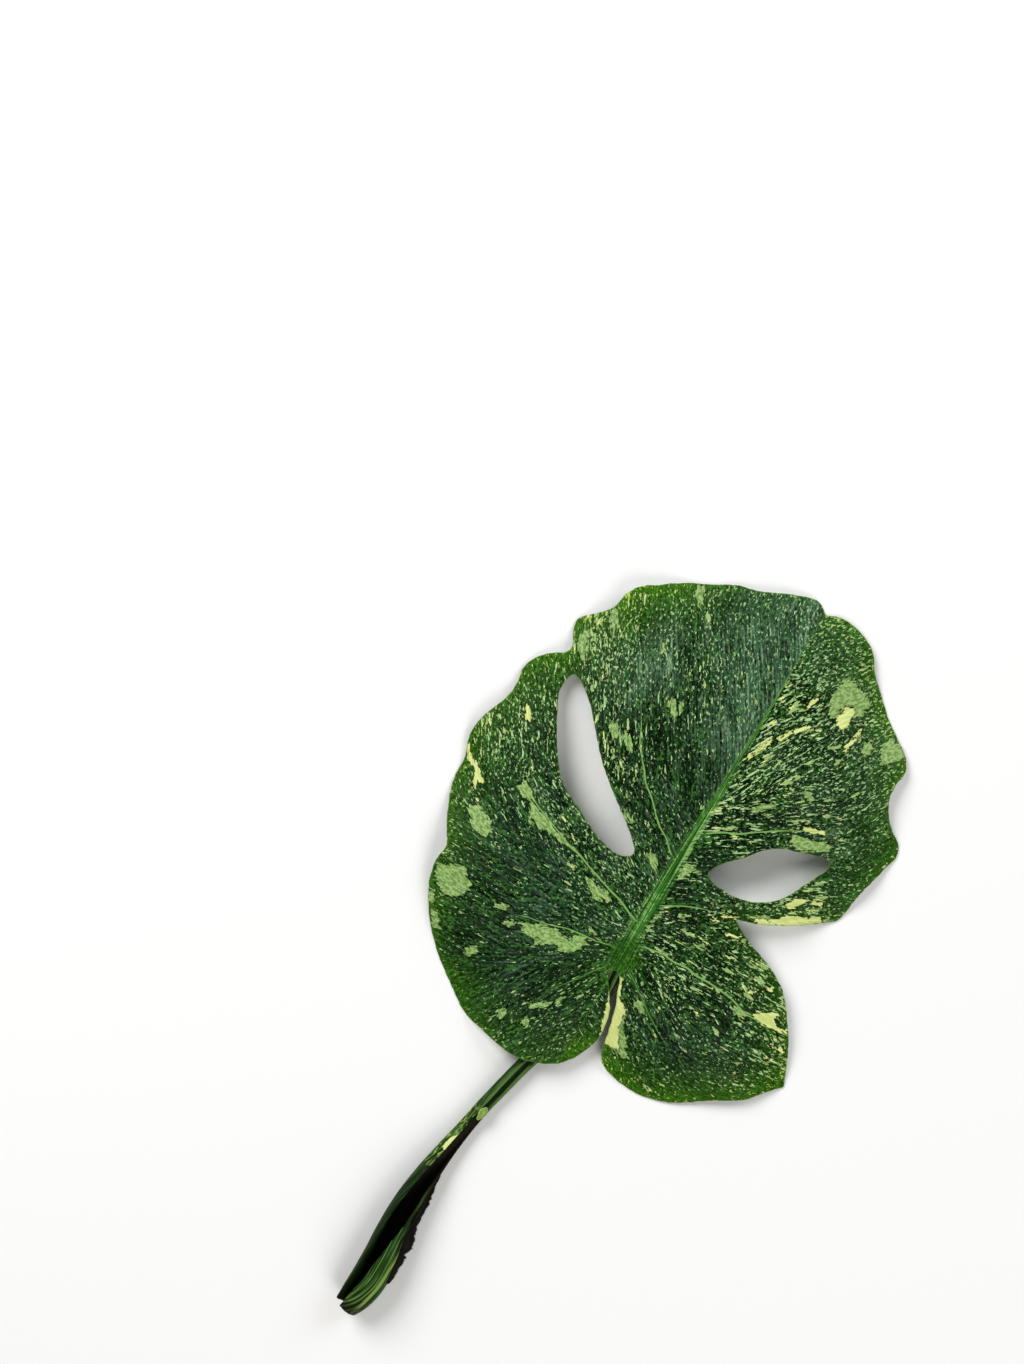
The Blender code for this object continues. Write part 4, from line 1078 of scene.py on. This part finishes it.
def stripGrid(ys, spans, shift):
    # points on strips that follow the stalk's outside: for each y a list of (angle, distance off the skin)
    sections = stalkAt(ys)
    places = [section[0] for section in sections]
    grid = []
    for i, (section, span) in enumerate(zip(sections, spans)):
        right, up = stalkAxes(places, i)
        middle, half = section[0] + shift, section[1]
        grid.append([middle + right * (half + off) * math.cos(angle) + up * (half + off) * math.sin(angle)
                     for angle, off in span])
    return np.array(grid)


def makeWing(shift):
    ys = np.linspace(wing["rows"][0][0], wing["rows"][-1][0], wing["stations"])
    spans = []
    for y, start, end, away in smoothRows(wing["rows"], ys):
        away = max(0.0, away + wing["wave"] * (1 + math.sin(y / 3.7)) * min(1.0, away))
        notches = noise.noise(Vector((y / 2.4, 2.2, 0))) + 0.6 * noise.noise(Vector((y / 0.8, 7.1, 0))) - 0.25
        shares = np.linspace(0, 1, wing["across"]) * (1 + wing["ragged"] * notches)
        crumple = [wing["crumple"] * noise.noise(Vector((y / 5, share * 1.6, 3.0))) * share
                   for share in shares]
        spans.append([(math.radians(start + (end - start) * share), wing["gap"] + away * share ** 2 + rise)
                      for share, rise in zip(shares, crumple)])
    grid = stripGrid(ys, spans, shift)
    across = np.tile(np.linspace(0, 1, wing["across"]), len(ys))
    sheet = thickSheet("withered_wing_sheet", grid, wing["thickness"], {
        "along": np.repeat(ys, wing["across"]), "across": across})
    edge, inner = grid[:, -1], grid[:, -3]
    outward = (edge - inner) / np.linalg.norm(edge - inner, axis=1)[:, None]
    return frayEdge(sheet, edge, outward)


def frayEdge(sheet, edge, outward):
    # short loose fibres all along the torn edge
    inside = slice(3, -3)
    guide = asMesh("torn_edge", edge[inside] * mm, (), {"outward": outward[inside]},
                   [(i, i + 1) for i in range(len(edge) - 7)])
    tree, given = newTree("fray edge", {"Edge": "Object", "Count": "Int", "Length": "Float",
                                        "Thickness": "Float", "Seed": "Int"})
    line = addNode(tree, "GeometryNodeObjectInfo", {"Object": given["Edge"]})
    curve = addNode(tree, "GeometryNodeMeshToCurve", {0: line.outputs["Geometry"]})
    spots = addNode(tree, "GeometryNodeResampleCurve", {"Curve": curve, "Count": given["Count"]})
    # one fibre: a thin tapered hair, bent to one side
    hair = addNode(tree, "GeometryNodeCurvePrimitiveLine", {"Start": (0, 0, -0.25), "End": (0, 0, 1)})
    hair = addNode(tree, "GeometryNodeResampleCurve", {"Curve": hair, "Count": 6})
    way = addNode(tree, "GeometryNodeSplineParameter").outputs["Factor"]
    taper = addNode(tree, "ShaderNodeMapRange", {0: way, 3: 1.0, 4: 0.25})
    hair = addNode(tree, "GeometryNodeSetCurveRadius", {"Curve": hair, "Radius": taper})
    bend = addNode(tree, "ShaderNodeMath", {0: way, 1: 2.0}, operation="POWER")
    bend = addNode(tree, "ShaderNodeMath", {0: bend, 1: given["Length"]}, operation="MULTIPLY")
    aside = addNode(tree, "ShaderNodeCombineXYZ", {"X": bend})
    hair = addNode(tree, "GeometryNodeSetPosition", {0: hair, "Offset": aside})
    loop = addNode(tree, "GeometryNodeCurvePrimitiveCircle", {"Resolution": 4, "Radius": given["Thickness"]})
    hair = addNode(tree, "GeometryNodeCurveToMesh", {"Curve": hair, "Profile Curve": loop, "Fill Caps": True})
    out = addNode(tree, "GeometryNodeInputNamedAttribute", {"Name": "outward"}, data_type="FLOAT_VECTOR")
    stray = addNode(tree, "FunctionNodeRandomValue", {0: (-0.9, -0.9, -0.5), 1: (0.9, 0.9, 0.5),
                                                      "Seed": given["Seed"]}, data_type="FLOAT_VECTOR")
    facing = addNode(tree, "ShaderNodeVectorMath", {0: out, 1: stray}, operation="ADD")
    turn = addNode(tree, "FunctionNodeAlignRotationToVector", {"Vector": facing}, axis="Z")
    size = addNode(tree, "FunctionNodeRandomValue", {2: 0.25, 3: 1.0, "Seed": given["Seed"]},
                   data_type="FLOAT")
    size = addNode(tree, "ShaderNodeMath", {0: size, 1: given["Length"]}, operation="MULTIPLY")
    scale = addNode(tree, "ShaderNodeCombineXYZ", {"X": 1.0, "Y": 1.0, "Z": size})
    hairs = addNode(tree, "GeometryNodeInstanceOnPoints", {
        "Points": spots, "Instance": hair, "Rotation": turn, "Scale": scale})
    both = addNode(tree, "GeometryNodeJoinGeometry", {0: hairs})
    tree.links.new(given["Geometry"], both.inputs[0])
    return applyTree(sheet, guide, tree, given, both, "withered_wing_visual", {
        "Edge": guide, "Count": wing["fibres"], "Length": wing["fibreLength"] * mm,
        "Thickness": wing["fibreThickness"] * mm, "Seed": wing["seed"], "Material": witheredTissue()})


def threadedTissue(look, name, coats, depth, strength, ior, specular):
    # thin tissue whose threads run along it
    material, tree, shader = newMaterial(name)
    value = {key: addNode(tree, "ShaderNodeAttribute", attribute_name=key).outputs["Fac"]
             for key in ("along", "across")}
    spot = addNode(tree, "ShaderNodeCombineXYZ", {0: value["across"], 1: value["along"]})
    for key, (wide, long, detail) in look["noises"].items():
        laid = addNode(tree, "ShaderNodeMapping", {"Vector": spot, "Scale": (wide, long, 1.0)},
                       vector_type="TEXTURE")
        value[key] = addNode(tree, "ShaderNodeTexNoise", {"Vector": laid, "Scale": 1.0, "Detail": detail},
                             noise_dimensions="2D").outputs["Fac"]
    value["rim"] = addNode(tree, "ShaderNodeMath", {0: value["across"]}, operation="ABSOLUTE")
    colour = layTissue(tree, value, look, {}, coats, "LINEAR")
    dress(tree, shader, colour, value["threads"], depth, strength, look["roughness"], ior, specular)
    return material


def witheredTissue():
    # dead sheath: dry, brittle and fibrous, nearly black with dull brown streaks
    return threadedTissue(wing, "dry withered sheath tissue", [
        ("skin", "dark", "brown", 1, ("blotch", 0.42, 0.66)),
        ("skin", "skin", "pale", 0.7, ("threads", 0.56, 0.72))], 0.0004, 0.8, 1.5, 0.06)


def makeTip(shift):
    ys = np.linspace(sheathTip["rows"][0][0], sheathTip["rows"][-1][0], sheathTip["stations"])
    spans = []
    for y, middle, spread, lift in smoothRows(sheathTip["rows"], ys):
        shares = np.linspace(-1, 1, sheathTip["across"])
        torn = 1 + sheathTip["ragged"] * noise.noise(Vector((y / 1.1, 5.5, 0)))
        spans.append([(math.radians(middle + spread * torn * share),
                       sheathTip["gap"] + lift * (1 - 0.5 * share ** 2)
                       + sheathTip["curl"] * abs(share) ** 3 * min(1, lift * 2)
                       + sheathTip["crumple"] * noise.noise(Vector((y / 1.6, share * 2, 1.0))))
                      for share in shares])
    grid = stripGrid(ys, spans, shift)
    across = np.tile(np.linspace(-1, 1, sheathTip["across"]), len(ys))
    tip = thickSheet("sheath_tip", grid, sheathTip["thickness"], {
        "along": np.repeat(ys, sheathTip["across"]), "across": across})
    tip.data.materials.append(tornMembrane())
    return tip


def tornMembrane():
    # the sheath's fresh torn tip: thin, pale and moist, with green threads
    return threadedTissue(sheathTip, "pale torn sheath membrane", [
        ("skin", "colour", "veined", 1, ("threads", 0.45, 0.62)),
        ("skin", "skin", "torn", 0.8, ("rim", 0.8, 0.95))], 0.0002, 0.6, 1.4, 0.5)


witheredWing = makeWing(lowShift)
restOnTable(witheredWing)
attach(witheredWing, "root")
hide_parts("withered_wing")
tipPiece = makeTip(lowShift)
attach(tipPiece, "root")
print("withered wing:", len(witheredWing.data.polygons), "faces")
print("sheath tip:", len(tipPiece.data.polygons), "faces")

# Camera straight above, turned so that the leaf leans to the right as it is held.
view = {"lens": 60.0, "tall": 0.6274, "centre": (-109.2, 92.6), "level": 12.0, "turn": 30.0}
camera = bpy.data.objects.new("camera", bpy.data.cameras.new("camera"))
bpy.context.scene.collection.objects.link(camera)
bpy.context.scene.camera = camera
camera.data.lens = view["lens"]
camera.data.clip_start = 0.01
distance = view["tall"] * view["lens"] / camera.data.sensor_width
camera.location = ((view["centre"][0] + leafShift.x) * mm, (view["centre"][1] + leafShift.y) * mm,
                   distance + view["level"] * mm)
camera.rotation_euler = (0, 0, math.radians(view["turn"]))

floorMesh = bpy.data.meshes.new("floor")
floorMesh.from_pydata([(-3, -3, 0), (3, -3, 0), (3, 3, 0), (-3, 3, 0)], [], [(0, 1, 2, 3)])
floor = bpy.data.objects.new("floor", floorMesh)
bpy.context.scene.collection.objects.link(floor)
floorPaint, _, floorShader = newMaterial("matt white card")
floorShader.inputs["Base Color"].default_value = fromHex("#f9f9f8")
floorShader.inputs["Roughness"].default_value = 0.9
floorMesh.materials.append(floorPaint)

lights = [  # name, place, size, power, colour
    ("window", (-1.5, 0.6, 1.25), 1.2, 34.0, "#ffffff"),
    ("fill", (1.3, -1.0, 1.2), 1.4, 19.0, "#fdfaf4"),
    ("back", (0.8, 1.6, 1.1), 1.2, 14.0, "#f6f9ff"),
]
for name, spot, size, power, colour in lights:
    lamp = bpy.data.lights.new(name, "AREA")
    lamp.shape, lamp.size, lamp.energy = "DISK", size, power
    lamp.color = fromHex(colour)[:3]
    thing = bpy.data.objects.new(name, lamp)
    thing.location = spot
    thing.rotation_euler = (Vector((0, 0, 0)) - Vector(spot)).to_track_quat("-Z", "Y").to_euler()
    bpy.context.scene.collection.objects.link(thing)
world = bpy.data.worlds.new("studio")
bpy.context.scene.world = world
world.use_nodes = True
world.node_tree.nodes["Background"].inputs["Color"].default_value = (1, 1, 1, 1)
world.node_tree.nodes["Background"].inputs["Strength"].default_value = 0.2
bpy.context.scene.view_settings.view_transform = "Standard"
print("camera, floor and lights")
